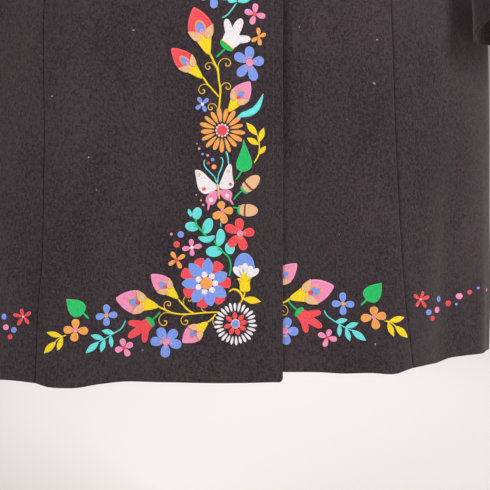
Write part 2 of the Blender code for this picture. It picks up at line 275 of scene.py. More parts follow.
# %% [markdown]
# ### Sections, seams and folds
# A tailor would measure the coat round its hem, hip, waist and chest. The first table does
# the same, and the others say where the seams run, where the skirt ripples, and how far
# the hem hangs down. Curves through a few measured rows stay smooth, and are easy to mend.

# %% Sections from the hem to the neck
SECTION_COLUMNS = (
    "side_z", "front_z", "back_z", "half_width",
    "front_y", "side_y", "back_y", "front_flat", "back_flat", "corner",
)
SECTIONS = np.array([
    [-1.000, -1.015, -1.012, 0.3020, -0.1050, 0.004, 0.100, 0.168, 0.170, 0.26],
    [-0.940, -0.952, -0.950, 0.3015, -0.1050, 0.003, 0.099, 0.164, 0.168, 0.28],
    [-0.860, -0.868, -0.867, 0.3010, -0.1055, 0.001, 0.099, 0.158, 0.165, 0.29],
    [-0.760, -0.764, -0.764, 0.3012, -0.1060, 0.001, 0.101, 0.152, 0.160, 0.31],
    [-0.650, -0.650, -0.650, 0.3005, -0.1080, 0.002, 0.106, 0.142, 0.150, 0.31],
    [-0.540, -0.540, -0.540, 0.2570, -0.1100, 0.001, 0.106, 0.115, 0.125, 0.42],
    [-0.430, -0.430, -0.430, 0.2180, -0.1120, 0.000, 0.096, 0.085, 0.100, 0.52],
    [-0.340, -0.340, -0.340, 0.2020, -0.1280, 0.000, 0.108, 0.080, 0.105, 0.55],
    [-0.245, -0.250, -0.245, 0.2050, -0.1420, 0.000, 0.122, 0.075, 0.110, 0.55],
    [-0.165, -0.185, -0.165, 0.2060, -0.1340, 0.000, 0.124, 0.070, 0.105, 0.55],
    [-0.100, -0.142, -0.115, 0.2070, -0.1160, 0.000, 0.114, 0.060, 0.090, 0.55],
    [-0.045, -0.112, -0.068, 0.2050, -0.0980, 0.000, 0.098, 0.040, 0.060, 0.55],
    [-0.022, -0.100, -0.040, 0.1400, -0.0860, 0.000, 0.086, 0.030, 0.045, 0.55],
    [0.000, -0.090, -0.020, 0.0780, -0.0740, 0.000, 0.070, 0.020, 0.030, 0.55],
])
print(len(SECTIONS), "sections")

# %% Seams, folds and the hang of the hem
SEAM_COLUMNS = ("level", "front_right", "front_left", "back")
SEAMS = np.array([
    [-1.000, 0.188, 0.196, 0.190],
    [-0.930, 0.186, 0.186, 0.187],
    [-0.870, 0.182, 0.182, 0.184],
    [-0.770, 0.182, 0.177, 0.180],
    [-0.650, 0.184, 0.173, 0.176],
    [-0.540, 0.178, 0.168, 0.166],
    [-0.430, 0.172, 0.168, 0.156],
    [-0.340, 0.186, 0.184, 0.170],
])
# Columns: the side (1 is the coat's left), the face, the arc, the half width, the depth and
# the top level.
FOLDS = (
    (-1, "front", 0.165, 0.050, 0.0040, -0.76),
    (-1, "front", 0.095, 0.040, -0.0035, -0.86),
    (-1, "front", 0.245, 0.075, 0.0160, -0.70),
    (1, "front", 0.172, 0.030, 0.0050, -0.80),
    (1, "front", 0.245, 0.036, -0.0060, -0.66),
    (1, "front", 0.300, 0.026, 0.0060, -0.72),
    (-1, "back", 0.070, 0.042, 0.0100, -0.66),
    (-1, "back", 0.160, 0.040, -0.0100, -0.62),
    (-1, "back", 0.245, 0.036, 0.0110, -0.72),
    (1, "back", 0.030, 0.038, -0.0080, -0.74),
    (1, "back", 0.120, 0.044, 0.0120, -0.60),
    (1, "back", 0.215, 0.040, -0.0090, -0.70),
)
# Columns: the arc, and how far the right and the left of the front hang down there.
HEM_DROP = np.array([
    [0.050, 0.0000, 0.0000],
    [0.096, 0.0020, 0.0022],
    [0.125, 0.0062, 0.0052],
    [0.150, 0.0112, 0.0060],
    [0.172, 0.0120, 0.0080],
    [0.190, 0.0094, 0.0055],
    [0.215, 0.0096, 0.0050],
    [0.235, 0.0112, 0.0062],
    [0.260, 0.0118, 0.0036],
    [0.344, 0.0122, 0.0050],
])
print(len(SEAMS), "rows of seams,", len(FOLDS), "folds")


# %% Curves
def unit(vectors):
    return vectors / np.linalg.norm(vectors, axis=-1, keepdims=True)


def smooth_step(share):
    share = np.clip(share, 0.0, 1.0)
    return share * share * (3 - 2 * share)


def hermite(u, start, leave, end, arrive):
    """A cubic curve from start to end with the given directions at its ends."""
    return (
        (2 * u**3 - 3 * u**2 + 1) * start
        + (u**3 - 2 * u**2 + u) * leave
        + (3 * u**2 - 2 * u**3) * end
        + (u**3 - u**2) * arrive
    )


def steady_slopes(knots, values):
    """Slopes that keep a curve between its values: level where they turn back."""
    steps = (np.diff(values, axis=0).T / np.diff(knots)).T
    before, after = steps[:-1], steps[1:]
    same_way = before * after > 0
    middle = np.where(same_way, 2 * before * after / np.where(same_way, before + after, 1), 0)
    return np.concatenate([steps[:1], middle, steps[-1:]])


def through(knots, values, slopes, at):
    """A smooth curve through the values, read at each of the places."""
    at = np.clip(at, knots[0], knots[-1])
    i = np.clip(np.searchsorted(knots, at, side="right") - 1, 0, len(knots) - 2)
    span, u = knots[i + 1] - knots[i], (at - knots[i]) / (knots[i + 1] - knots[i])
    if values.ndim > 1:
        span, u = span[..., None], u[..., None]
    return hermite(u, values[i], span * slopes[i], values[i + 1], span * slopes[i + 1])


SECTION_SLOPES = steady_slopes(SECTIONS[:, 0], SECTIONS)
DROP_SLOPES = steady_slopes(HEM_DROP[:, 0], HEM_DROP)
print("steepest rows", SECTION_SLOPES.max().round(2), DROP_SLOPES.max().round(2))

# %% [markdown]
# ### A section and the cloth round it
# Seen from above, a quarter of the coat is a nearly flat front or back that turns a corner
# into the side. A straight run and one Bezier curve draw it. Walking along it in small
# steps gives the arc, because cloth is measured along itself and not straight across.


# %% Half a section
def half_section(level, front):
    """For each level, a section from its centre line to its side line, its arcs and its heights."""
    rows = through(SECTIONS[:, 0], SECTIONS, SECTION_SLOPES, level)
    s = dict(zip(SECTION_COLUMNS, rows.T))
    middle_y = np.where(front, s["front_y"], s["back_y"])
    flat = np.where(front, s["front_flat"], s["back_flat"])
    crown = np.where(front, FRONT_CROWN, -FRONT_CROWN)
    u = np.linspace(0, 1, OUTLINE_STEPS // 2, endpoint=False)
    flat_x = flat[:, None] * u
    flat_y = middle_y[:, None] + crown[:, None] * u**2
    reach = s["corner"] * (s["half_width"] - flat)
    start_y = middle_y + crown
    first = (flat + reach, start_y + reach * 2 * crown / flat)
    second = (s["half_width"], s["side_y"] - s["corner"] * (s["side_y"] - start_y))
    u = np.linspace(0, 1, OUTLINE_STEPS)
    weights = ((1 - u) ** 3, 3 * u * (1 - u) ** 2, 3 * u**2 * (1 - u), u**3)
    ends = ((flat, start_y), first, second, (s["half_width"], s["side_y"]))
    x, y = (sum(w * end[axis][:, None] for w, end in zip(weights, ends)) for axis in (0, 1))
    x, y = np.concatenate([flat_x, x], axis=1), np.concatenate([flat_y, y], axis=1)
    steps = np.hypot(np.diff(x), np.diff(y))
    arcs = np.concatenate([np.zeros((len(x), 1)), np.cumsum(steps, axis=1)], axis=1)
    return x, y, arcs, np.where(front, s["front_z"], s["back_z"]), s["side_z"]


def side_arc(level, front):
    """How far round the side line is from the centre line, at each level."""
    return half_section(level, np.broadcast_to(front, level.shape))[2][:, -1]


print("side arc at the hem", side_arc(np.array([HEM]), True).round(3))


# %% Folds and the hang of the hem
def fold_depth(side, front, arc, level):
    total = np.zeros(len(arc))
    for fold_side, fold_face, centre, width, depth, top in FOLDS:
        here = (side == fold_side) & (front == (fold_face == "front")) & (level < top)
        fall = smooth_step((top - level) / (top - HEM))
        share = np.minimum(np.abs(arc - centre) / width, 1.0)
        total += here * depth * fall * (1 - smooth_step(share))
    return total


def hem_drop(side, front, arc, reach, level):
    """How much lower a place hangs, where reach is the arc of the side line."""
    at = np.where(front, arc, HEM_DROP[-1, 0])
    drops = through(HEM_DROP[:, 0], HEM_DROP, DROP_SLOPES, at)
    share = np.where(front, 1.0, smooth_step(arc / reach))
    fall = smooth_step((DROP_FADES_AT - level) / (DROP_FADES_AT - HEM))
    return np.where(side < 0, drops[:, 1], drops[:, 2]) * share * fall


print("lowest hem", hem_drop(1, True, np.array([0.3]), 1.0, np.array([HEM])).round(4))


# %% Points of the coat
def on_form(side, front, arc, level):
    """Points of the outside of the cloth. An arc may cross the centre line or the side line."""
    side, arc = np.where(arc < 0, -side, side), np.abs(arc)
    x, y, arcs, middle_z, side_z = half_section(level, front)
    past = arc > arcs[:, -1]
    if past.any():
        other = half_section(level, ~front)
        arc = np.where(past, other[2][:, -1] + arcs[:, -1] - arc, arc)
        front = front ^ past
        swap = past[:, None]
        x, y, arcs = (np.where(swap, b, a) for a, b in zip((x, y, arcs), other[:3]))
        middle_z = np.where(past, other[3], middle_z)

    def plan(at):
        at = np.clip(at, 0, arcs[:, -1])
        i = np.clip((arcs <= at[:, None]).sum(axis=1) - 1, 0, arcs.shape[1] - 2)
        n = np.arange(len(at))
        share = (at - arcs[n, i]) / (arcs[n, i + 1] - arcs[n, i])
        return np.stack([a[n, i] + share * (a[n, i + 1] - a[n, i]) for a in (x, y)], axis=1)

    along = plan(arc + SMALL_STEP) - plan(arc - SMALL_STEP)
    outward = unit(np.stack([along[:, 1], -along[:, 0]], axis=1)) * np.where(front, 1, -1)[:, None]
    moved = plan(arc) + outward * fold_depth(side, front, arc, level)[:, None]
    z = middle_z + (side_z - middle_z) * smooth_step(arc / arcs[:, -1])
    z = z - hem_drop(side, front, arc, arcs[:, -1], level)
    return np.stack([side * moved[:, 0], moved[:, 1], z], axis=1)


def outward_of(side, front, arc, level):
    """The direction that the cloth faces."""
    up = on_form(side, front, arc, np.minimum(level + SMALL_STEP, NECK)) - on_form(
        side, front, arc, np.maximum(level - SMALL_STEP, HEM)
    )
    ahead = on_form(side, front, arc + SMALL_STEP, level)
    behind = on_form(side, front, arc - SMALL_STEP, level)
    turn = side * np.where(front, 1, -1)
    return unit(np.cross(ahead - behind, up)) * turn[:, None]


def body_point(side, front, arc, level, lift):
    """Points that far out from the cloth's outside. front is false on the back."""
    side, front, lift = (np.broadcast_to(value, arc.shape) for value in (side, front, lift))
    return on_form(side, front, arc, level) + lift[:, None] * outward_of(side, front, arc, level)


def left_rise(level, share):
    """The coat's left side hangs a little higher at the hem, by that share."""
    fall = smooth_step((RISE_FADES_AT - level) / (RISE_FADES_AT - HEM))
    rise = np.zeros((len(level), 3))
    rise[:, 2] = LEFT_HEM_RISE * fall * share
    return rise


print("centre of the hem", on_form(1, np.array([True]), np.array([0.0]), np.array([HEM])).round(3))

# %% [markdown]
# ### Seams and armholes
# The armhole is an oval on the side of the coat. The seams of the side panel end on it, so
# its turn, from the shoulder round to the underarm, also gives the height where they end.


# %% Seams and armholes
def armhole_level(turn):
    """The level of the armhole's edge: a turn of 0 is the shoulder and pi the underarm."""
    return UNDERARM + (SHOULDER_TIP - UNDERARM) * (1 + np.cos(turn)) / 2


def armhole_turn(reach, face):
    """The turn at which the armhole's lower half is that far from the side line."""
    return math.pi - np.arcsin(reach / ARMHOLE_REACH[face])


SEAM_TOP = {
    face: float(armhole_level(armhole_turn(reach, face)))
    for face, reach in SIDE_PANEL_TOP_REACH.items()
}


def seam_arc(level, name):
    """The arc of a panel seam, which ends at the armhole."""
    face = "back" if name == "back" else "front"
    knots = np.append(SEAMS[:, 0], SEAM_TOP[face])
    top_arc = side_arc(knots[-1:], face == "front")[0] - SIDE_PANEL_TOP_REACH[face]
    values = np.append(SEAMS[:, SEAM_COLUMNS.index(name)], top_arc)
    return through(knots, values, steady_slopes(knots, values), np.minimum(level, SEAM_TOP[face]))


def outer_arc(level, name, face):
    """Where a front or the back ends: its panel seam, the armhole, then the shoulder seam."""
    share = np.clip((level - UNDERARM) / (SHOULDER_TIP - UNDERARM), 0.0, 1.0)
    reach = ARMHOLE_REACH[face] * 2 * np.sqrt(share * (1 - share))
    armhole = side_arc(level, face == "front") - reach
    return np.where(level <= SEAM_TOP[face], seam_arc(level, name), armhole)


print("seams meet the armhole at", SEAM_TOP)

# %% [markdown]
# ## Cutting and sewing the cloth
# A cut piece is a wall as thick as the wool. A flat solid would show hard edges, so the
# grid is closer near each edge: the outside rolls over at a free edge, and it sinks into a
# crease with a slight swell beside it at a seam, where the turnings lie beneath. Long
# shallow creases, uneven in length and depth, are pressed into every panel.

# %% How a piece is cut
STEP = 0.0062
NEAR_EDGE = (0.0006, 0.0014, 0.0026, 0.0042, 0.0070)
EDGE_MARGIN = 0.020
EDGE_ROUND = 0.0009
SEAM_DIP, SEAM_DIP_REACH = 0.0021, 0.0019
SEAM_SWELL, SEAM_SWELL_AT, SEAM_SWELL_REACH = 0.0003, 0.0065, 0.0060
CORNER_RADIUS = 0.0042
TOPSTITCH_IN, TOPSTITCH_DIP, TOPSTITCH_REACH = 0.0098, 0.0007, 0.0016


def stations(length, also=()):
    """Distances from 0 to length, closer together near both ends."""
    inner = NEAR_EDGE[-1]
    middle = np.linspace(inner, length - inner, max(3, round((length - 2 * inner) / STEP)))
    ends = np.array((0.0, *NEAR_EDGE[:-1]))
    return np.unique(np.concatenate([ends, middle, length - ends, also]))


def spread(distance, full, here):
    """A place that many metres across a full width, where the cloth is only this wide.

    Near both edges the distance from the edge stays, and the middle is drawn in.
    """
    inner = distance - EDGE_MARGIN
    middle = EDGE_MARGIN + inner * (here - 2 * EDGE_MARGIN) / (full - 2 * EDGE_MARGIN)
    far = distance > full - EDGE_MARGIN
    return np.where(distance < EDGE_MARGIN, distance, np.where(far, here - full + distance, middle))


def dip(distance, reach):
    """1 at a distance of 0, smoothly down to 0 at reach."""
    return 1 - smooth_step(np.abs(distance) / reach)


def round_corner(a, u):
    """Rounds the corner where the front's edge meets the hem."""
    across, up = (np.clip(1 - distance / CORNER_RADIUS, 0, 1) for distance in (a, u))
    return (
        a + CORNER_RADIUS * across * (1 - np.sqrt(1 - up**2 / 2)),
        u + CORNER_RADIUS * up * (1 - np.sqrt(1 - across**2 / 2)),
    )


def edge_form(distance, kind):
    """How far the outside and the inside sink, and the outside swells, near an edge."""
    if kind == "seam":
        swell = SEAM_SWELL * dip(distance - SEAM_SWELL_AT, SEAM_SWELL_REACH)
        return SEAM_DIP * dip(distance, SEAM_DIP_REACH), np.zeros_like(distance), swell
    round_off = EDGE_ROUND * (1 - np.sqrt(1 - np.clip(1 - distance / EDGE_ROUND, 0, 1) ** 2))
    stitched = TOPSTITCH_DIP * dip(distance - TOPSTITCH_IN, TOPSTITCH_REACH)
    outside = round_off + (stitched if kind == "stitched" else 0)
    return outside, round_off, np.zeros_like(distance)


print("stations of a 100 mm width:", len(stations(0.1)))


# %% [markdown]
# ### From a grid to a sewn piece
# Cloth has two faces and an edge, so each piece is a grid of points outside, the same grid
# inside, and a rim. Solidify could give the thickness, but then the inside would copy
# every crease at a seam, where real turnings leave it flat.


# %% The mesh of a piece
def wall_faces(columns, rows):
    """The faces of a closed wall: its outside, its inside, and the rim that joins them."""
    n = columns * rows
    corner = (np.arange(rows - 1)[:, None] * columns + np.arange(columns - 1)).ravel()
    outer = np.stack([corner, corner + 1, corner + columns + 1, corner + columns], axis=1)
    rim = [*range(columns), *range(2 * columns - 1, n, columns)]
    rim += [*range(n - 2, n - columns - 1, -1), *range(n - 2 * columns, 0, -columns)]
    rim, following = np.array(rim), np.roll(rim, -1)
    joined = np.stack([rim, rim + n, following + n, following], axis=1)
    return np.concatenate([outer, outer[:, ::-1] + n, joined]).tolist()


def crease_bend(a, u, width, length, creases):
    """How far the creases bend the cloth out, fading near the seams."""
    bend = np.zeros_like(a)
    for at_a, at_u, half_width, half_length, lean, depth in creases:
        along = (u - at_u * length) / half_length
        off = (a - at_a * width - lean * along * half_length) / half_width
        bend += depth * dip(along, 1.0) * dip(off, 1.0)
    return bend * smooth_step(np.minimum(a, width - a) / EDGE_MARGIN)


def on_coat(name, points, faces, material, slot):
    """A smooth object of that mesh and material, which moves with the coat."""
    mesh = bpy.data.meshes.new(name)
    mesh.from_pydata(points.tolist(), [], faces)
    mesh.shade_smooth()
    mesh.materials.append(material)
    piece = bpy.data.objects.new(name, mesh)
    bpy.context.scene.collection.objects.link(piece)
    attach(piece, "root")
    return piece


print("a wall of 3 x 3 points has", len(wall_faces(3, 3)), "faces")

# %% Sewing a piece from its grid
CLOTHS, ON_GRID = {}, {}


def sewn(node, place, across, up, edges, creases=()):
    """Makes the cloth that stands for a CAD node, and states how it was cut.

    Its grid is across x up, both in metres from their first edge. place takes the metres
    across and up, and the lift. edges gives the kind of the first and last edge across,
    then up. A crease has its shares across and up, its half width and half length, how
    far it leans and its depth.
    """
    name, columns, rows = f"{node}_cloth", len(across), len(up)
    a, u = (grid.ravel() for grid in np.meshgrid(across, up))
    distances = (a, across[-1] - a, u, up[-1] - u)
    forms = [edge_form(distance, kind) for distance, kind in zip(distances, edges)]
    sink_out, sink_in, swell = (np.max(depths, axis=0) for depths in zip(*forms))
    bend = crease_bend(a, u, across[-1], up[-1], creases)
    outer = place(a, u, bend + swell - sink_out)
    inner = place(a, u, bend - CLOTH + sink_in)
    faces = wall_faces(columns, rows)
    piece = on_coat(name, np.concatenate([outer, inner]), faces, wool, "wool")
    row, column = rows // 2, columns // 2
    away = (outer - inner)[row * columns + column]
    if np.dot(piece.data.polygons[row * (columns - 1) + column].normal, away) < 0:
        piece.data.flip_normals()
    outside = outer.reshape(rows, columns, 3)
    facing = unit(np.cross(np.gradient(outside, axis=1), np.gradient(outside, axis=0)))
    CLOTHS[name] = (across, up, outside, facing * np.sign(np.dot(facing[row, column], away)))
    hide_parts(node)


# %% [markdown]
# ### Fronts, side panels and back
# Each is cut as a patch of the body's form. The rows of a front and of the back close up
# along the armhole, so that its curve stays round. The front that lies beneath is pressed
# in at the lap by the thickness of the one on top.

# %% Rows of a front or the back
ARMHOLE_ROWS = 34
SHOULDER_ROWS = 5
SUNK = CLOTH + LAP_GAP
GROOVE_AT, GROOVE_REACH, GROOVE_DEPTH = LAP + 0.0016, 0.0030, 0.0070
SPRAY_TOP, GROOVE_FADE = -0.88, 0.06


def body_levels(face):
    """Levels from the hem to the neck, with the armhole's own turns between."""
    below = HEM + stations(SEAM_TOP[face] - HEM)
    first_turn = armhole_turn(SIDE_PANEL_TOP_REACH[face], face)
    armhole = armhole_level(np.linspace(first_turn, 0, ARMHOLE_ROWS + 1)[1:])
    shoulder = np.linspace(SHOULDER_TIP, NECK, SHOULDER_ROWS)[1:]
    return np.concatenate([below, armhole, shoulder])


print(len(body_levels("front")), "rows in a front")

# %% Fronts
FRONT_CREASES = {
    -1: (
        (0.54, 0.28, 0.018, 0.11, 0.05, -0.0012), (0.78, 0.24, 0.022, 0.12, 0.04, -0.0014),
        (0.86, 0.40, 0.022, 0.05, 0.60, -0.0016), (0.64, 0.50, 0.030, 0.05, 0.55, -0.0020),
        (0.74, 0.60, 0.026, 0.05, -0.70, -0.0018), (0.60, 0.74, 0.030, 0.07, 0.45, 0.0016),
    ),
    1: (
        (0.66, 0.24, 0.018, 0.10, 0.08, -0.0012), (0.84, 0.27, 0.020, 0.09, -0.05, 0.0012),
        (0.72, 0.36, 0.024, 0.09, 0.06, -0.0012), (0.66, 0.48, 0.028, 0.05, -0.55, -0.0020),
        (0.80, 0.60, 0.024, 0.06, 0.60, -0.0016), (0.70, 0.74, 0.028, 0.06, -0.50, 0.0014),
    ),
}


def front_pressed(level, arc):
    """How far the front beneath is pressed in, most of all along the edge of the lap."""
    seam = outer_arc(level, "front_left", "front") - SEAM_GAP / 2
    above_spray = smooth_step((level - SPRAY_TOP) / GROOVE_FADE)
    groove = GROOVE_DEPTH * dip(arc - GROOVE_AT, GROOVE_REACH) * above_spray
    return SUNK * (1 - smooth_step((arc - LAP) / (seam - LAP))) + groove


def cut_front(side):
    name = f"front_{SIDES[side]}"
    widest = LAP + seam_arc(np.array([HEM]), name)[0]

    def place(a, u, lift):
        a, u = round_corner(a, u)
        level = HEM + u
        seam = outer_arc(level, name, "front") - SEAM_GAP / 2
        arc = -LAP + spread(a, widest, seam + LAP)
        if side < 0:
            return body_point(side, True, arc, level, lift)
        sunk = lift - front_pressed(level, arc)
        return body_point(side, True, arc, level, sunk) + left_rise(level, 1)

    def grid_place(arc, level):
        seam = outer_arc(level, name, "front") - SEAM_GAP / 2
        return spread(arc + LAP, seam + LAP, widest), level - HEM

    ON_GRID[f"{name}_cloth"] = grid_place
    stitched = TOPSTITCH_IN + TOPSTITCH_REACH * np.array([-1, 0, 1])
    groove = LAP + GROOVE_AT + GROOVE_REACH * np.linspace(-1, 1, 7)
    across = stations(widest, also=stitched if side < 0 else [*stitched, *groove])
    edges = ("stitched", "seam", "free", "seam")
    sewn(name, place, across, body_levels("front") - HEM, edges, FRONT_CREASES[side])


for side in SIDES:
    cut_front(side)

# %% [markdown]
# ### Side panels
# The princess seams leave one panel under each arm, from the front seam to the back one.
# Its width is measured from the side line, and its top follows the foot of the armhole.

# %% Side panels
SIDE_CREASES = (
    (0.22, 0.16, 0.020, 0.13, 0.05, -0.0022), (0.48, 0.10, 0.024, 0.10, -0.06, 0.0020),
    (0.74, 0.22, 0.022, 0.14, 0.07, -0.0024), (0.40, 0.55, 0.022, 0.05, 0.75, -0.0022),
    (0.60, 0.64, 0.024, 0.05, -0.70, -0.0024), (0.50, 0.82, 0.022, 0.06, 0.55, -0.0020),
)


def panel_top_turn(share):
    """The armhole's turn above the side panel, from the front (0) to the back (1)."""
    front, back = SIDE_PANEL_TOP_REACH["front"], SIDE_PANEL_TOP_REACH["back"]
    from_side = -front + share * (front + back)
    before = armhole_turn(np.clip(-from_side, 0, front), "front")
    after = 2 * math.pi - armhole_turn(np.clip(from_side, 0, back), "back")
    return np.where(from_side < 0, before, after)


def cut_side_panel(side):
    front_seam = f"front_{SIDES[side]}"
    top_width = sum(SIDE_PANEL_TOP_REACH.values())
    tallest = max(SEAM_TOP.values()) - HEM

    def half_widths(level):
        """How far the side line is from the front seam and from the back seam."""
        return [
            side_arc(level, front) - seam_arc(level, seam)
            for front, seam in ((True, front_seam), (False, "back"))
        ]

    widest = sum(half_widths(np.array([HEM])))[0]

    def place(a, u, lift):
        top = armhole_level(panel_top_turn(spread(a, widest, top_width) / top_width))
        level = HEM + spread(u, tallest, top - HEM)
        to_front, to_back = (half - SEAM_GAP / 2 for half in half_widths(level))
        from_side = -to_front + spread(a, widest, to_front + to_back)
        front = from_side < 0
        arc = side_arc(level, front) - np.abs(from_side)
        return body_point(side, front, arc, level, lift) + left_rise(level, side > 0)

    def grid_place(arc, level):
        here = sum(half_widths(level)) - SEAM_GAP
        a = spread(arc - seam_arc(level, front_seam) - SEAM_GAP / 2, here, widest)
        top = armhole_level(panel_top_turn(spread(a, widest, top_width) / top_width))
        return a, spread(level - HEM, top - HEM, tallest)

    name = f"side_{SIDES[side]}"
    ON_GRID[f"{name}_cloth"] = grid_place
    edges = ("seam", "seam", "free", "seam")
    sewn(name, place, stations(widest), stations(tallest), edges, SIDE_CREASES)


for side in SIDES:
    cut_side_panel(side)

# %% [markdown]
# ### Back
# The photo doesn't show the back, so it is one plain piece. Creases fan out below the
# waist, as heavy wool hangs.

# %% Back
BACK_CREASES = (
    (0.18, 0.12, 0.024, 0.12, 0.05, -0.0022), (0.36, 0.18, 0.026, 0.16, -0.04, 0.0020),
    (0.55, 0.11, 0.022, 0.10, 0.06, -0.0024), (0.78, 0.16, 0.026, 0.14, -0.05, 0.0022),
    (0.34, 0.50, 0.034, 0.06, 0.80, -0.0026), (0.66, 0.52, 0.034, 0.06, -0.80, -0.0024),
    (0.45, 0.60, 0.040, 0.04, 0.90, 0.0018), (0.24, 0.74, 0.030, 0.07, 0.50, -0.0020),
    (0.77, 0.76, 0.030, 0.07, -0.50, -0.0022),
)
BACK_WIDTH = 2 * seam_arc(np.array([HEM]), "back")[0]


def place_back(a, u, lift):
    level = HEM + u
    seam = outer_arc(level, "back", "back") - SEAM_GAP / 2
    arc = spread(a, BACK_WIDTH, 2 * seam) - seam
    return body_point(1, False, arc, level, lift) + left_rise(level, smooth_step(arc / seam))


sewn(
    "back", place_back, stations(BACK_WIDTH), body_levels("back") - HEM,
    ("seam", "seam", "free", "seam"), BACK_CREASES,
)

# %% [markdown]
# ### Sleeves
# A coat sleeve has two pieces, an upper one and a narrower one under the arm. Both follow
# curves that leave the armhole, bend at the elbow and end at the cuff. The cloth creases
# across the inside of the elbow and buckles a little above the cuff.

# %% Sleeve sizes
SLEEVE_LENGTH = 0.60
SLEEVE_NUDGE = 0.01
SLEEVE_WIDTH = {"upper": 0.245, "under": 0.085}
# The curves' reach at both ends: what all have, what the top adds, what the underarm adds.
LEAVE_OUTWARD, LEAVE_UPWARD = (0.150, 0.125, -0.010), (-0.190, 0.080, 0.070)
LEAVE_FORWARD = -0.035
ARRIVE_DOWN = (0.46, 0.10, -0.04)
SLEEVE_CREASES = {
    "upper": (
        (0.84, 0.46, 0.040, 0.014, 0.10, -0.0034), (0.80, 0.53, 0.044, 0.016, -0.12, -0.0040),
        (0.86, 0.60, 0.038, 0.014, 0.14, -0.0030), (0.30, 0.66, 0.030, 0.05, 0.30, 0.0016),
        (0.55, 0.86, 0.040, 0.020, 0.15, -0.0020), (0.22, 0.28, 0.030, 0.06, 0.35, -0.0024),
        (0.62, 0.16, 0.030, 0.05, -0.35, -0.0020),
    ),
    "under": (
        (0.40, 0.50, 0.030, 0.014, 0.10, -0.0026), (0.45, 0.58, 0.030, 0.016, -0.12, -0.0030),
        (0.50, 0.80, 0.026, 0.030, 0.15, -0.0014),
    ),
}
print("sleeve", SLEEVE_LENGTH, "m long")


# %% Sleeve curves
def sleeve_rail(turn):
    """The ends of the sleeve's lengthwise curves at those turns, and their directions."""
    level, top, ahead = armhole_level(turn), np.cos(turn), np.sin(turn)
    front = ahead >= 0
    reach = np.where(front, ARMHOLE_REACH["front"], ARMHOLE_REACH["back"])
    upper, lower = np.maximum(top, 0), np.maximum(-top, 0)
    leave_out, leave_up, arrive_down = (
        base + above * upper + below * lower
        for base, above, below in (LEAVE_OUTWARD, LEAVE_UPWARD, ARRIVE_DOWN)
    )
    leave = np.stack([leave_out, LEAVE_FORWARD * ahead, leave_up], axis=1)
    arc = side_arc(level, front) - reach * np.abs(ahead)
    start = on_form(np.ones_like(turn), front, arc, level) + unit(leave) * SLEEVE_HEAD_GAP
    down = unit(np.array([math.tan(SLEEVE_OUTWARD), -math.tan(SLEEVE_FORWARD), -1.0]))
    outward = unit(np.array([1.0, 0.0, math.tan(CUFF_TILT)]))
    forward = unit(np.array([0.0, -1.0, math.tan(CUFF_FORWARD)]))
    ring = outward * (CUFF_HALF_WIDTH * top)[:, None] + forward * (CUFF_HALF_DEPTH * ahead)[:, None]
    return start, leave, CUFF_CENTRE + ring, down * arrive_down[:, None]


def sleeve_point(turn, along, lift):
    """The coat's left sleeve, from the armhole to the cuff, with a rounded cap."""
    u = along[:, None]
    rail = sleeve_rail(turn)
    ahead, behind = (
        hermite(u, *sleeve_rail(turn + step)) for step in (SLEEVE_NUDGE, -SLEEVE_NUDGE)
    )
    lower, higher = (
        hermite(np.clip(u + step, 0, 1), *rail) for step in (SLEEVE_NUDGE, -SLEEVE_NUDGE)
    )
    return hermite(u, *rail) + lift[:, None] * unit(np.cross(ahead - behind, lower - higher))


def sleeve_turn(part, share):
    """The turn of the upper or the under sleeve at that share of its width."""
    gap = SEAM_GAP / (2 * CUFF_HALF_DEPTH)
    if part == "under":
        turn = panel_top_turn(share)
        return np.clip(turn, turn.min() + gap, turn.max() - gap)
    back = armhole_turn(SIDE_PANEL_TOP_REACH["back"], "back")
    front = armhole_turn(SIDE_PANEL_TOP_REACH["front"], "front")
    return np.interp(share, (0, 0.5, 1), (gap - back, 0, front - gap))


print("front of the cuff", sleeve_point(np.array([math.pi / 2]), np.ones(1), np.zeros(1)).round(3))


# %% Sleeves
def cut_sleeve(side, part):
    word, widest = SIDES[side], SLEEVE_WIDTH[part]

    def place(a, u, lift):
        turn = sleeve_turn(part, a / widest)
        return sleeve_point(turn, 1 - u / SLEEVE_LENGTH, lift) * (side, 1, 1)

    sewn(
        f"{part}_sleeve_{word}", place, stations(widest), stations(SLEEVE_LENGTH),
        ("seam", "seam", "free", "seam"),
        SLEEVE_CREASES[part],
    )


for side in SIDES:
    for part in SLEEVE_WIDTH:
        cut_sleeve(side, part)

# %% [markdown]
# ### Collar
# The photo shows no collar, so it is the plainest that a coat must have: a stand round the
# neck whose fall turns down over it, with no point and no lapel.

# %% Collar form
COLLAR_NUDGE = 0.01
COLLAR_ACROSS, COLLAR_ROUND = 0.13, 0.50
# Columns of the stand and its fold: the share of its height, and how far out of the neck.
STAND_ROWS = (
    (-0.04, 0.0), (0.50, -0.0020), (0.93, -0.0025), (1.08, 0.0035), (0.93, 0.0100), (0.45, 0.0130),
)
# Columns of the fall: the share of its depth, its height over the coat, and the rise.
FALL_ROWS = ((0.35, 0.006, 0.20), (0.68, 0.002, 0.17), (1.0, 0.0, 0.13))


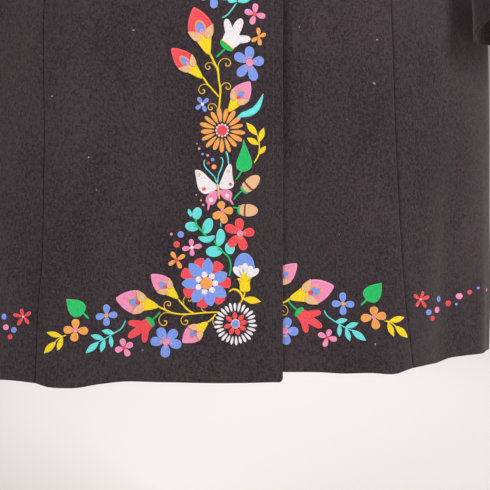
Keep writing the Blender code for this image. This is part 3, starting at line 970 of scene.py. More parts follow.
def collar_profile(share):
    """Places across the outer face of the collar, for each share round the neck."""
    side = np.where(share >= 0.5, 1, -1)
    reach = {face: side_arc(np.array([NECK]), face == "front")[0] for face in ("front", "back")}
    walked = np.abs(share - 0.5) * 2 * (reach["front"] + reach["back"] - CLOTH)
    front = walked > reach["back"]
    at_neck = np.where(front, reach["front"] + reach["back"] - walked, walked)
    neck_share = at_neck / np.where(front, reach["front"], reach["back"])
    edge = np.where(front, COLLAR_EDGE["front"], COLLAR_EDGE["back"])
    low = COLLAR_EDGE["side"] + (edge - COLLAR_EDGE["side"]) * smooth_step(1 - neck_share)

    def above(level, lift):
        level = np.broadcast_to(level, share.shape)
        return body_point(side, front, neck_share * side_arc(level, front), level, lift)

    neck = above(NECK, 0.0)
    outward = unit((above(NECK, SMALL_STEP) - neck) * (1, 1, 0))
    up = np.array([0.0, 0.0, COLLAR_STAND])
    stand = [neck + up * high + outward * out for high, out in STAND_ROWS]
    fall = [
        above(deep * low, COLLAR_CLEARANCE + over) + up * high for deep, over, high in FALL_ROWS
    ]
    return np.stack(stand + fall)


def on_collar(share, at):
    profile = collar_profile(np.clip(share, 0, 1))
    slopes, last = np.gradient(profile, axis=0), len(profile) - 1
    i = np.clip((at * last).astype(int), 0, last - 1)
    n, u = np.arange(len(share)), (at * last - i)[:, None]
    return hermite(u, profile[i, n], slopes[i, n], profile[i + 1, n], slopes[i + 1, n])


def place_collar(a, u, lift):
    share, at = a / COLLAR_ROUND, u / COLLAR_ACROSS
    across = on_collar(share, at + COLLAR_NUDGE) - on_collar(share, at - COLLAR_NUDGE)
    along = on_collar(share + COLLAR_NUDGE, at) - on_collar(share - COLLAR_NUDGE, at)
    return on_collar(share, at) + lift[:, None] * unit(np.cross(across, along))


sewn(
    "collar", place_collar, stations(COLLAR_ROUND), stations(COLLAR_ACROSS),
    ("free", "free", "free", "stitched"),
)

# %% [markdown]
# ## Places on the sewn cloth
# Stitching follows the cloth as it lies, creases and all. The chart of the embroidery gives
# millimetres across from the centre front and up from the hem at the centre. A place on
# the chart is first found on the form, then on the grid of the cut piece.

# %% From the chart to the cloth
CHART_FOOT, CHART_SHRINK = -1.015, 0.997
LEVEL_STEPS = 4
LEVELS = np.linspace(HEM, NECK, 401)
LEVEL_SIDE_ARCS = side_arc(LEVELS, True)
HEIGHT_COLUMNS = slice(0, 2)


def chart_level(side, arc, height):
    """The level at which the cloth is at that height, found in a few steps."""
    level = height
    for _ in range(LEVEL_STEPS):
        heights = through(
            SECTIONS[:, 0], SECTIONS[:, HEIGHT_COLUMNS], SECTION_SLOPES[:, HEIGHT_COLUMNS], level
        )
        share = np.abs(arc) / np.interp(level, LEVELS, LEVEL_SIDE_ARCS)
        here = heights[:, 1] + (heights[:, 0] - heights[:, 1]) * smooth_step(share)
        here = here + left_rise(level, side > 0)[:, 2]
        here = here - hem_drop(side, True, np.abs(arc), 1.0, level)
        level = level + height - here
    return level


def on_grid(piece, a, u, height):
    """Points that far above the outside of a sewn piece, at those metres on its grid."""
    across, up, outside, facing = CLOTHS[piece]
    i = np.clip(np.searchsorted(across, a, side="right") - 1, 0, len(across) - 2)
    j = np.clip(np.searchsorted(up, u, side="right") - 1, 0, len(up) - 2)
    s = np.clip((a - across[i]) / (across[i + 1] - across[i]), 0, 1)[:, None]
    t = np.clip((u - up[j]) / (up[j + 1] - up[j]), 0, 1)[:, None]
    place, normal = (
        (grid[j, i] * (1 - s) + grid[j, i + 1] * s) * (1 - t)
        + (grid[j + 1, i] * (1 - s) + grid[j + 1, i + 1] * s) * t
        for grid in (outside, facing)
    )
    return place + height[:, None] * unit(normal)


def on_chart(piece, points):
    """Moves points of the chart, across, up and out of the cloth in mm, onto a piece."""
    x, y, height = points.T / 1000
    side = -1 if "right" in piece else 1
    level = chart_level(side, side * x, CHART_FOOT + y * CHART_SHRINK)
    return on_grid(piece, *ON_GRID[piece](side * x, level), height)


print("chart origin", on_chart("front_right_cloth", np.array([[0.0, 20.0, 0.0]])).round(4))

# %% [markdown]
# ## Edge topstitching
# A row of black stitches runs a centimetre in from the edge of each front and of the
# collar. One stitch is modelled, then copied along the rows.


# %% Stitch
STITCH_SIZE = (0.00042, 0.00150, 0.00030)

bpy.ops.mesh.primitive_uv_sphere_add(segments=6, ring_count=4, radius=1)
stitch = bpy.context.object
stitch.name = "stitch"
bpy.ops.object.mode_set(mode="EDIT")
bpy.ops.mesh.select_all(action="SELECT")
bpy.ops.transform.rotate(value=math.pi / 2, orient_axis="X", center_override=(0, 0, 0))
bpy.ops.transform.resize(value=STITCH_SIZE, center_override=(0, 0, 0))
bpy.ops.object.mode_set(mode="OBJECT")
print("stitch", len(stitch.data.polygons), "faces", stitch.dimensions[:])


# %% Rows of stitches
STITCH_PITCH = 0.0036
STITCH_HEIGHT = 0.0001
STITCH_NUDGE = 0.001
FROM_END, FROM_NECK = 0.001, 0.012
EDGE_POINTS, NECK_POINTS = 400, 300


def copies(shape, at, along, facing):
    """The corners and the faces of copies of a shape, with its y along and its z out."""
    corners = np.array([vertex.co for vertex in shape.data.vertices])
    axes = np.stack([np.cross(along, facing), along, facing], axis=1)
    faces = [
        [corner + len(corners) * n for corner in face.vertices]
        for n in range(len(at))
        for face in shape.data.polygons
    ]
    return (at[:, None] + np.einsum("vk,nkd->nvd", corners, axes)).reshape(-1, 3), faces


def black_thread_finish():
    material, shader, place = new_finish("black_sewing_thread", Specular_IOR_Level=0.4)
    twist = place.noise(0.0008, 1.0)
    shade = twist.blend((0.022, 0.017, 0.019, 1.0), (0.050, 0.041, 0.045, 1.0))
    wire(shader, place, twist, 0.0002, Base_Color=shade, Roughness=0.55 + twist * 0.1)
    return material


def topstitch(piece, a, u):
    """Sews stitches along a line of the piece's grid, given close together."""
    line = on_grid(piece, a, u, np.full(len(a), STITCH_HEIGHT))
    lift = on_grid(piece, a, u, np.full(len(a), STITCH_HEIGHT + STITCH_NUDGE)) - line
    walked = np.concatenate([[0], np.cumsum(np.linalg.norm(np.diff(line, axis=0), axis=1))])
    at = np.arange(STITCH_PITCH / 2, walked[-1], STITCH_PITCH)
    place, before, after, facing = (
        np.stack([np.interp(where, walked, column) for column in values.T], axis=1)
        for where, values in (
            (at, line), (at - STITCH_NUDGE, line), (at + STITCH_NUDGE, line), (at, lift)
        )
    )
    along, facing = unit(after - before), unit(facing)
    facing = unit(facing - along * np.sum(facing * along, axis=1, keepdims=True))
    name = piece.replace("cloth", "topstitching")
    on_coat(name, *copies(stitch, place, along, facing), black_thread, "sewing_thread")
    print(name, len(at), "stitches")


black_thread = black_thread_finish()
for word in SIDES.values():
    piece = f"front_{word}_cloth"
    up = np.linspace(FROM_END, CLOTHS[piece][1][-1] - FROM_NECK, EDGE_POINTS)
    topstitch(piece, np.full(len(up), TOPSTITCH_IN), up)
round_neck = np.linspace(FROM_END, COLLAR_ROUND - FROM_END, NECK_POINTS)
topstitch("collar_cloth", round_neck, np.full(len(round_neck), COLLAR_ACROSS - TOPSTITCH_IN))
bpy.data.objects.remove(stitch, do_unlink=True)

# %% [markdown]
# ## Embroidery thread
# The embroidery is satin stitch in glossy rayon: fine ridges side by side, which catch the
# light along each patch. The ridges follow the patch's own map. The colour of each face is
# stored on the mesh, so one finish serves the threads of every colour.

# %% Thread finish
RIDGE = 0.00045
THREADS = {
    "red": (243, 78, 86), "pink": (244, 146, 190), "tan": (238, 188, 140),
    "yellow": (250, 216, 34), "orange": (246, 166, 84), "blue": (126, 156, 236),
    "turquoise": (106, 226, 224), "green": (38, 194, 104), "white": (240, 235, 239),
    "gold": (232, 192, 72), "peach": (248, 184, 156), "salmon": (242, 142, 126),
    "brown": (112, 74, 66),
}


def linear(shade):
    """A screen colour from 0 to 255 as the light it stands for."""
    share = np.array(shade) / 255
    return np.where(share <= 0.04045, share / 12.92, ((share + 0.055) / 1.055) ** 2.4)


def satin_finish():
    material, shader, place = new_finish("satin_thread", Specular_IOR_Level=0.16)
    sewn_map = place.of("ShaderNodeUVMap", 0, {"uv_map": "threads"})
    across = sewn_map.of("ShaderNodeSeparateXYZ", 0, None, Vector=sewn_map)
    uneven = place.noise(0.0016, 1.0)
    turn = across * (2 * math.pi / RIDGE) + uneven * 1.6
    ridges = turn.math("SINE", turn) * 0.5 + 0.5
    tone = place.of("ShaderNodeAttribute", 0, {"attribute_name": "thread"})
    mottled = place.noise(0.0024, 2.0, 0.6)
    # The colour has painted shade in the hollows between the ridges, and is also darker at random
    # where the thread is mottled.
    ridge_shade_and_mottling = (1.0 - ridges) * 0.30 + (1.0 - mottled).between(0.35, 0.75) * 0.30
    wire(
        shader, place, ridges, 0.00010,
        Base_Color=tone.shaded(ridge_shade_and_mottling), Roughness=0.44 + mottled * 0.16,
    )
    return material


satin = satin_finish()
print(satin.name, len(satin.node_tree.nodes), "nodes")

# %% [markdown]
# ## Satin patches
# Every petal, leaf, bud and dot is a patch of satin stitch over padding. Its border stands
# up as a rounded ridge, and the middle lies a little lower. Each shape is modelled once,
# from a cylinder that is a unit long, and is then laid down many times.

# %% Patch shapes
PATCH_SIDES = {"small": 16, "large": 24}
PATCH_EDGE = 0.35
BORDER = {"small": ((0.90, 0.65), (0.88, -0.20)), "large": ((0.945, 0.65), (0.94, -0.20))}
MIDDLE_RINGS = {"small": (), "large": (0.64, 0.50)}
LARGE_FROM = 13.0
PATCH_SHAPES = {
    "round": (0.19, 0.35, 0.46, 0.50, 0.46, 0.35, 0.19),
    "petal": (0.10, 0.25, 0.39, 0.48, 0.50, 0.41, 0.23),
    "leaf": (0.09, 0.24, 0.41, 0.50, 0.42, 0.23, 0.08),
    "pointed": (0.20, 0.38, 0.48, 0.50, 0.43, 0.27, 0.10),
    "wedge": (0.20, 0.30, 0.38, 0.45, 0.50, 0.50, 0.38),
    "blunt": (0.24, 0.35, 0.44, 0.49, 0.50, 0.44, 0.30),
    "aspen": (0.26, 0.44, 0.50, 0.46, 0.33, 0.16, 0.05),
    "poplar": (0.30, 0.49, 0.49, 0.36, 0.20, 0.09, 0.03),
    "sepal": (0.24, 0.41, 0.50, 0.45, 0.32, 0.17, 0.05),
    "calyx": (0.10, 0.17, 0.25, 0.33, 0.41, 0.47, 0.50),
    "lobe": (0.34, 0.46, 0.50, 0.49, 0.45, 0.37, 0.20),
    "cup": (0.34, 0.38, 0.42, 0.46, 0.50, 0.46, 0.28),
    "nut": (0.36, 0.49, 0.50, 0.47, 0.40, 0.29, 0.15),
    "shell": (0.30, 0.46, 0.50, 0.455, 0.34, 0.20, 0.08),
    "vase": (0.27, 0.33, 0.34, 0.34, 0.35, 0.40, 0.50),
    "egg": (0.28, 0.43, 0.50, 0.49, 0.43, 0.32, 0.17),
}
print(len(PATCH_SHAPES), "shapes")

# %% Modelling a patch
TINY = 0.001


def select_vertices(piece, chosen):
    """Selects the corners of a piece in edit mode whose place passes the test."""
    cage = bmesh.from_edit_mesh(piece.data)
    for vertex in cage.verts:
        vertex.select_set(bool(chosen(vertex.co)))
    cage.select_flush_mode()
    bmesh.update_edit_mesh(piece.data)


def model_patch(name, profile, size):
    """Models a patch from (0, 0) to (0, 1) whose widest place is one unit wide.

    A large one has more sides, a narrower border, and rings in its flat middle, so that
    it can follow the cloth.
    """
    sides = PATCH_SIDES[size]
    bpy.ops.mesh.primitive_cylinder_add(vertices=sides, radius=0.5, depth=PATCH_EDGE)
    patch = bpy.context.object
    patch.name = name
    bpy.ops.object.mode_set(mode="EDIT")
    bpy.ops.mesh.select_mode(type="VERT")
    bpy.ops.mesh.select_all(action="SELECT")
    bpy.ops.transform.translate(value=(0, 0.5, PATCH_EDGE / 2))
    known = math.pi * np.arange(1, len(profile) + 1) / (len(profile) + 1)
    angles = 2 * math.pi * np.arange(1, sides // 2) / sides
    half_widths = np.interp(angles, known, np.array(profile) / np.sin(known)) * np.sin(angles)
    lengths = (1 - np.cos(angles)) / 2
    for angle, length, half_width in zip(angles, lengths, half_widths):
        select_vertices(patch, lambda place: abs(place.y - length) < TINY)
        bpy.ops.transform.resize(
            value=(half_width / (math.sin(angle) / 2), 1, 1), center_override=(0, 0, 0)
        )
    middle = float(np.average(lengths, weights=half_widths))
    select_vertices(patch, lambda place: place.z > PATCH_EDGE / 2)
    for share, rise in (*BORDER[size], *((share, 0) for share in MIDDLE_RINGS[size])):
        bpy.ops.mesh.extrude_region_move(TRANSFORM_OT_translate={"value": (0, 0, rise)})
        bpy.ops.transform.resize(value=(share, share, 1), center_override=(0, middle, 0))
    bpy.ops.object.mode_set(mode="OBJECT")
    return patch


# %% Every patch, small and large
PATCHES = {}
for size in PATCH_SIDES:
    for name, profile in PATCH_SHAPES.items():
        patch = model_patch(name, profile, size)
        corners = np.array([vertex.co for vertex in patch.data.vertices])
        faces = [list(face.vertices) for face in patch.data.polygons]
        middle_height = PATCH_EDGE + sum(rise for share, rise in BORDER[size])
        inner = [
            all(abs(corners[corner][2] - middle_height) < TINY for corner in face)
            for face in faces
        ]
        PATCHES[name, size] = (corners, faces, np.array(inner))
        bpy.data.objects.remove(patch, do_unlink=True)
print({name: len(shape[1]) for name, shape in PATCHES.items()}, "faces")

# %% [markdown]
# ## Laying the stitches
# One group gathers all that is sewn onto one piece of cloth, on a flat chart in millimetres
# as an embroiderer would draw it. It lays patches and cords, and at the end it moves every
# corner onto the cloth. One joined mesh is far lighter than a thousand objects.

# %% Sizes of the stitching, in mm
PATCH_HEIGHT, LAYER_HEIGHT, SUNK_IN_CLOTH = 0.45, 0.27, 0.06
# A patch's raised border is painted lighter as a painted highlight, and its lower middle darker as
# painted shade.
RIM_PAINTED_HIGHLIGHT, MIDDLE_PAINTED_SHADE = 0.04, 0.92
CORD_STEP = 1.6
CORD_SECTION = np.array([[-0.50, 0.0], [-0.34, 0.72], [0.0, 1.0], [0.34, 0.72], [0.50, 0.0]])
CORD_HEIGHT_SHARE, CORD_HIGHEST = 0.42, 0.60
CURL_STEPS, CURL_TURN, CURL_EYE = 16, 470, 0.9
STROKE_LEAN, STROKE_WIDTH, SHORT_STROKE = 13, 0.8, 0.75
PETAL_FOOT, LOBE_ROOT, CUP_LENGTH = 0.10, 0.12, 0.90


def around(count, turn):
    """Angles in degrees, evenly round from the first."""
    return [turn + 360 * n / count for n in range(count)]


def towards(start, degrees, distance):
    """The place at that distance and direction from the start, on the chart."""
    angle = math.radians(degrees)
    return np.array(start) + distance * np.array([math.cos(angle), math.sin(angle)])


def line_of(base, tip, width=1.0):
    """Finds places by their share of the way from base to tip, and of the width to its right."""
    base, along = np.array(base, float), np.array(tip, float) - base
    right = np.array([along[1], -along[0]]) / np.hypot(*along)
    return lambda share, across=0.0: base + share * along + across * width * right


def raised(z, layer):
    """The heights of a patch's corners: its foot sinks into the cloth."""
    return np.where(z > TINY, z * PATCH_HEIGHT + layer * LAYER_HEIGHT, -SUNK_IN_CLOTH)


print("first layer", raised(np.array([0.0, PATCH_EDGE]), 0), "mm high")


# %% Patches and cords
class Stitching:
    """Patches and cords on the chart, in mm, that are sewn onto one piece as one mesh."""

    def __init__(self, cloth):
        self.cloth, self.corners = cloth, 0
        self.points, self.threads, self.faces, self.shades = [], [], [], []

    def add(self, points, threads, faces, shades):
        self.points.append(points)
        self.threads.append(threads / 1000)
        self.faces += [[corner + self.corners for corner in face] for face in faces]
        self.shades += list(shades)
        self.corners += len(points)

    def patch(self, shape, base, tip, width, shade, layer=0, bend=0.0, rim=True):
        """Lays a shape from base to tip. bend moves its middle to the right of that line."""
        length = math.dist(base, tip)
        corners, faces, inner = PATCHES[
            shape, "large" if max(length, width) > LARGE_FROM else "small"
        ]
        x, y, z = corners.T
        offset = x * width + bend * 4 * y * (1 - y)
        flat = line_of(base, tip)(y[:, None], offset[:, None])
        colour = linear(THREADS[shade])
        # The border gets a painted highlight and the middle painted shade; with no rim, all of it
        # has the painted shade.
        fill, edge = colour * MIDDLE_PAINTED_SHADE, colour + (1 - colour) * RIM_PAINTED_HIGHLIGHT
        shades = np.where(inner[:, None] | (not rim), fill, edge)
        threads = np.stack([offset, y * length], axis=1)
        self.add(np.column_stack([flat, raised(z, layer)]), threads, faces, shades)

    def cord(self, path, widths, shade, layer=0):
        """Lays a raised line of stitches along a smooth path, from one width to the other."""
        path = np.array(path, float)
        knots = np.append(0, np.cumsum(np.hypot(*np.diff(path, axis=0).T)))
        at = np.linspace(0, knots[-1], max(3, math.ceil(knots[-1] / CORD_STEP) + 1))
        line = through(knots, path, np.gradient(path, knots, axis=0), at)
        ahead = unit(np.gradient(line, at, axis=0))
        right = np.stack([ahead[:, 1], -ahead[:, 0]], axis=1)
        width = np.interp(at / knots[-1], np.linspace(0, 1, np.size(widths)), np.ravel(widths))
        to_end = np.minimum(at, at[-1] - at)
        width = width * np.minimum(1, 0.5 + to_end / width)
        height = np.minimum(width * CORD_HEIGHT_SHARE, CORD_HIGHEST)[:, None] * CORD_SECTION[:, 1]
        height = np.where(CORD_SECTION[:, 1] > 0, height + layer * LAYER_HEIGHT, -SUNK_IN_CLOTH)
        offset = width[:, None] * CORD_SECTION[:, 0]
        flat = line[:, None] + offset[..., None] * right[:, None]
        points = np.concatenate([flat, height[..., None]], axis=2).reshape(-1, 3)
        threads = np.stack([np.broadcast_to(at[:, None], offset.shape), offset], axis=2)
        sides = len(CORD_SECTION)
        faces = [
            [i + k, i + (k + 1) % sides, i + sides + (k + 1) % sides, i + sides + k]
            for i in range(0, sides * (len(at) - 1), sides)
            for k in range(sides)
        ]
        faces += [list(range(sides))[::-1], list(range(sides * (len(at) - 1), sides * len(at)))]
        shades = np.tile(linear(THREADS[shade]), (len(faces), 1))
        self.add(points, threads.reshape(-1, 2), faces, shades)

    def field(self, outline, shade, layer=0):
        """Lays a large round patch whose rim is drawn out to an outline, given anticlockwise."""
        corners, faces = PATCHES["round", "large"][:2]
        outline, count = np.array(outline, float), len(outline)
        loop = np.concatenate([outline[-1:], outline, outline[:2]])
        x, y, z = corners[:, 0], corners[:, 1] - 0.5, corners[:, 2]
        turn = np.arctan2(y, x) / (2 * math.pi) % 1 * count
        rim = through(np.arange(count + 1), loop[1:-1], (loop[2:] - loop[:-2]) / 2, turn)
        middle = outline.mean(axis=0)
        flat = middle + 2 * np.hypot(x, y)[:, None] * (rim - middle)
        # The whole field has the painted shade of a patch's middle.
        shades = np.tile(linear(THREADS[shade]) * MIDDLE_PAINTED_SHADE, (len(faces), 1))
        self.add(np.column_stack([flat, raised(z, layer)]), flat[:, ::-1], faces, shades)

    def dots(self, rows, layer=0):
        """Lays dots: the middle, the width, the height if it differs, and the shade."""
        for x, y, *sizes, shade in rows:
            reach = sizes[-1] / 2
            self.patch("round", (x, y - reach), (x, y + reach), sizes[0], shade, layer)

    def ring(self, shape, centre, angles, start, end, width, shade, layer=0, rim=True, widen=1.0):
        """Lays a shape outwards at each angle. start, end and width are one number or many."""
        sizes = (np.broadcast_to(size, len(angles)) for size in (start, end, width))
        for degrees, *reaches, wide in zip(angles, *sizes):
            ends = [centre + towards((0, 0), degrees, far) * (widen, 1) for far in reaches]
            self.patch(shape, *ends, wide, shade, layer, rim=rim)

    def sew(self, name):
        """Moves everything from the chart onto the cloth, as one mesh."""
        points = on_chart(self.cloth, np.concatenate(self.points))
        mesh = on_coat(name, points, self.faces, satin, "thread").data
        sizes = [len(face) for face in self.faces]
        corners = np.concatenate(self.faces)
        threads = np.concatenate(self.threads)[corners]
        mesh.uv_layers.new(name="threads").data.foreach_set("uv", threads.ravel())
        shades = np.column_stack([np.repeat(self.shades, sizes, axis=0), np.ones(len(corners))])
        colours = mesh.color_attributes.new(name="thread", type="FLOAT_COLOR", domain="CORNER")
        colours.data.foreach_set("color", shades.ravel())
        print(name, len(self.faces), "faces,", sum(sizes) - 2 * len(sizes), "triangles")


print("stitching", [name for name in vars(Stitching) if name[0] != "_"])

# %% [markdown]
# ### The motifs
# The same few motifs come back all over the coat: a flower, a curl, a sprig, a bud, a bell
# and an acorn. Each is put together once here, from patches in layers as an embroiderer
# sews one over the other, and takes its place, its size and its colours.


# %% Motifs
class Embroidery(Stitching):
    """Stitching that knows the coat's motifs."""

    def curl(self, start, eye, hand, width=1.0, shade="gold"):
        """A tendril that winds in from its start round its eye; a hand of 1 turns left."""
        reach, first = math.dist(start, eye), math.atan2(start[1] - eye[1], start[0] - eye[0])
        steps = np.linspace(0, 1, CURL_STEPS)
        angle = first + hand * steps * math.radians(CURL_TURN)
        radius = reach * (CURL_EYE / reach) ** steps
        path = np.array(eye) + radius[:, None] * np.stack([np.cos(angle), np.sin(angle)], axis=1)
        self.cord(path, (width, width * 0.9, width * 1.5), shade)

    def flower(self, centre, reach, angles, width, shade, heart, radius, layer=0, widen=1.0):
        foot = PETAL_FOOT * np.array(reach)
        self.ring("petal", centre, angles, foot, reach, width, shade, layer, widen=widen)
        self.dots([(*centre, 2 * radius * widen, 2 * radius, heart)], layer + 2)

    def strokes(self, centre, angles, start, end, shade):
        """Three short straight stitches at the foot of each petal, the middle one longest."""
        short = start + (end - start) * SHORT_STROKE
        for lean, far in ((-STROKE_LEAN, short), (0, end), (STROKE_LEAN, short)):
            leaning = [degrees + lean for degrees in angles]
            self.ring("round", centre, leaning, start, far, STROKE_WIDTH, shade, 1, rim=False)

    def sprig(self, stem, leaves, shade, width=1.6):
        """A stem with leaves, each given by its base, tip and width."""
        self.cord(stem, (width, width * 0.75), shade)
        for base, tip, leaf_width in leaves:
            self.patch("leaf", base, tip, leaf_width, shade)

    def bud(self, base, tip, width, shell, spot):
        """A bud with a patterned shell, two sepals and a trumpet of a calyx."""
        at = line_of(base, tip, width)
        self.patch("shell", at(0.36), at(1.0), width, shell)
        spots = ((0.73, 0.45, "orange"), (0.69, 0.34, "blue"), (0.54, 0.18, spot))
        for layer, (end, share, shade) in enumerate(spots, 1):
            self.patch("egg", at(0.42), at(end), width * share, shade, layer, rim=False)
        self.patch("calyx", at(0.0), at(0.43), width * 0.70, "yellow", 2, rim=False)
        for side in SIDES:
            ends = at(0.33, side * 0.10), at(0.56, side * 0.53)
            self.patch("sepal", *ends, width * 0.36, "tan", 4, rim=False)

    def bell(self, calyx, axis, width, lobes, shade, stem):
        """A bell flower: a cup that flares from its calyx into lobes, each a tip and a width."""
        at, reach = line_of(calyx, towards(calyx, axis, 1.0)), width * 0.41
        self.cord(stem, (1.9, 1.6), "green")
        self.patch("round", at(1.0, -reach), at(1.0, reach), 7.6, "green", rim=False)
        middle = at(width * 0.42)
        for tip, lobe_width in lobes:
            self.patch("lobe", middle + LOBE_ROOT * (tip - middle), tip, lobe_width, shade, 1)
        self.patch("cup", at(2.0), at(width * CUP_LENGTH), width, shade, 2, rim=False)
        if shade == "white":
            self.cord((at(2.2, -reach), at(2.8), at(2.2, reach)), 1.3, "yellow", 3)

    def acorn(self, base, tip, width, stem):
        at = line_of(base, tip, width)
        self.cord(stem, (1.6, 1.6), "green")
        self.patch("round", at(0.11, -0.40), at(0.11, 0.40), 5.2, "green")
        self.patch("blunt", at(0.10), at(0.42), width * 0.98, "tan", 1, rim=False)
        self.patch("nut", at(0.34), at(1.0), width, "tan", 1)
        self.cord((at(0.37, -0.49), at(0.35, 0.0), at(0.37, 0.49)), 2.0, "brown", 3)


print("motifs", [name for name in vars(Embroidery) if name[0] != "_"])

# %% [markdown]
# ## The embroidery up the front
# The strip climbs the lapped front from the big red and blue flower near the hem. Each
# line below is one motif, from the top down.

# %% Buds and flowers at the top
strip = Embroidery("front_right_cloth")
strip.flower((-8, 390.5), 15.2, around(5, 270), 8, "blue", "pink", 3.4)
strip.cord(((0, 366), (4, 368), (9, 373), (14.6, 381)), (1.6, 1.4), "turquoise")
strip.patch("leaf", (15, 382.5), (4, 386.5), 8, "turquoise")
strip.patch("leaf", (15.5, 382), (30, 387), 8, "turquoise")
main_stem = (
    (-12.4, 331), (-8, 322), (-4.4, 314), (-3, 303), (-1.6, 295), (-2.3, 283), (-3, 275)
)
strip.cord(main_stem, (2.2, 2.0), "yellow")
strip.cord(((-19.4, 307.4), (-14, 299.7), (-7.4, 292.3), (-3, 287.3)), (1.9, 1.7), "yellow")
for start, eye, hand in (
    ((-7, 317.4), (-13.4, 317), 1), ((-3, 313), (5, 320), -1), ((-12.4, 298), (-19, 293.3), 1),
    ((-1.3, 294), (5.5, 296.7), -1), ((-5, 276.3), (-11, 276.3), 1),
):
    strip.curl(start, eye, hand)
strip.bud((-13, 329.5), (-28, 376.5), 25, "red", "pink")
strip.bud((-19.6, 305.8), (-50.4, 335.8), 19, "red", "pink")
strip.bell(
    (4.1, 337.5), 52, 19.6, (((4.2, 364.8), 8), ((19.7, 365), 9.4), ((28.6, 345), 8)), "white",
    ((3, 335), (-6, 326.6)),
)
strip.flower((32.8, 369.6), 10.8, (86, -13, -109, 162), 6, "pink", "red", 2.2)
strip.flower((37, 347.2), (9.2, 7.4, 8.8, 8.8), (96, 23, -83, -149), 4.2, "orange", "orange", 1.4)
blue_petals = (91, 10.5, -74, -132, 151)
strip.flower((27.6, 321.2), (16.4, 14.6, 18.7, 17.5, 17.2), blue_petals, 9.4, "blue", "pink", 3.7)
strip.strokes((27.6, 321.2), blue_petals, 4.2, 7.4, "peach")
strip.flower((-19.5, 280), 8.2, (123, 43, -67, -144), 4.2, "blue", "white", 1.6)
strip.bud((6.6, 272.5), (28, 302.5), 19.5, "pink", "red")
s_leaf = ((14.2, 266), (20, 269), (27, 271), (33.5, 275), (37.6, 281.5), (41.2, 290.5))
strip.cord(s_leaf, (0.8, 6.0, 7.6, 6.8, 4.0, 0.8), "turquoise")
print(len(strip.points), "patches and cords")

# %% Daisy, leaf and sprig
daisy, petals = (0.2, 253.8), np.arange(17)
strip.ring(
    "petal", daisy, around(17, 78), 7.9, 22.3 + 1.1 * np.sin(2.1 * petals),
    4.4 + 0.5 * np.sin(1.7 * petals), "orange",
)
strip.ring("round", daisy, around(12, 90), 4.6, 7.0, 2.4, "white", rim=False)
strip.dots([(*daisy, 10.8, "red")], 1)
strip.cord(((4, 233), (5.8, 227), (6.5, 220)), (1.8, 1.6), "turquoise")
strip.cord(((20, 213.4), (17, 208.5), (13.5, 203.9)), (1.8, 1.5), "green")
strip.patch("poplar", (21.2, 212.4), (21.4, 244.4), 15.8, "green", bend=1.2)
strip.sprig(
    ((32, 221), (36.3, 229), (37.3, 239.5), (35.4, 248.8)),
    (
        ((35.4, 248.8), (24.5, 261.4), 6.4), ((37.3, 242.5), (41.8, 256.4), 6),
        ((36.7, 239.5), (25, 246.2), 6), ((37.3, 230), (43.7, 238), 5),
    ),
    "yellow",
)
strip.dots((
    (-25, 240.4, 1.5, "pink"), (-22.8, 235.6, 2.5, "tan"), (-19.3, 230, 2.5, "blue"),
    (-14.2, 228.8, 2.7, "pink"), (-9.4, 224.4, 3.6, "blue"), (-13.7, 221.1, 3.2, "red"),
    (-8, 217.2, 5.0, "orange"), (-25.8, 189.1, 1.4, "pink"), (-20.9, 183.8, 2.0, "tan"),
    (-18.7, 179, 2.3, "pink"), (-50.7, 149.8, 2.8, "pink"), (-41.3, 149.5, 6.6, "blue"),
    (-45.4, 139.5, 6.4, "red"),
))
print(len(strip.points), "patches and cords")

# %% [markdown]
# ### Butterfly
# Its wings have no simple shape, so each is an outline of a few places, which a smooth
# curve joins. The lower wings are pink and lie beneath the white ones.

# %% Butterfly
for feeler in (
    ((-16.8, 224.4), (-18, 222.2), (-17, 217.4), (-12, 211.9), (-7.5, 206.9), (-5.2, 200.4)),
    ((-2.2, 226.2), (0, 226.1), (0.8, 223.9), (0, 217.9), (-3.5, 208.9), (-4.8, 200.4)),
):
    strip.cord(feeler, 1.3, "turquoise")
for outline in (
    (
        (-4, 192), (-9, 192.8), (-13.5, 190), (-16.2, 185.5), (-15.7, 181.2), (-12.8, 179.5),
        (-9, 179.2), (-5.4, 184),
    ),
    (
        (10.2, 190), (8, 193.7), (2, 194.7), (-2.8, 193.5), (-1, 188.5), (2.5, 184.9),
        (7, 183.2), (9.7, 186.2),
    ),
):
    strip.field(outline, "pink")
strip.cord(((-12.6, 182), (-13.4, 178), (-14.2, 173.6)), (2.8, 2.0), "pink")
strip.cord(((7, 186), (8.6, 183.2), (11.2, 179.2)), (2.8, 2.2), "pink")
for outline in (
    (
        (-4.4, 198.4), (-10, 202.9), (-16.2, 209.3), (-21.5, 213.5), (-27, 213.9),
        (-26.2, 207.4), (-25, 199.9), (-22.9, 193.9), (-18, 189.9), (-12, 191),
        (-7.5, 193.2), (-4.4, 195.5),
    ),
    (
        (12.2, 200), (10.9, 205), (10.2, 212), (9.7, 218.3), (7.5, 220.5), (5.3, 218.3),
        (2.6, 213), (-0.3, 205.5), (-3.4, 197.5), (0.3, 194.9), (5.5, 194.6), (10.2, 196.2),
    ),
):
    strip.field(outline, "white", 1)
strip.cord(((-4.4, 200.2), (-3.5, 192), (-2.7, 184.6)), (2.6, 2.6, 1.4), "tan", 3)
strip.dots((
    (-22.5, 209.3, 3.0, 4.2, "tan"), (6.8, 213, 2.4, 3.8, "tan"), (-18, 195, 3.8, 3.4, "red"),
    (8.5, 200, 3.2, 3.4, "red"), (-11, 183.9, 4.4, "white"), (5.2, 188.2, 4.0, 4.2, "white"),
), 3)
print(len(strip.points), "patches and cords")

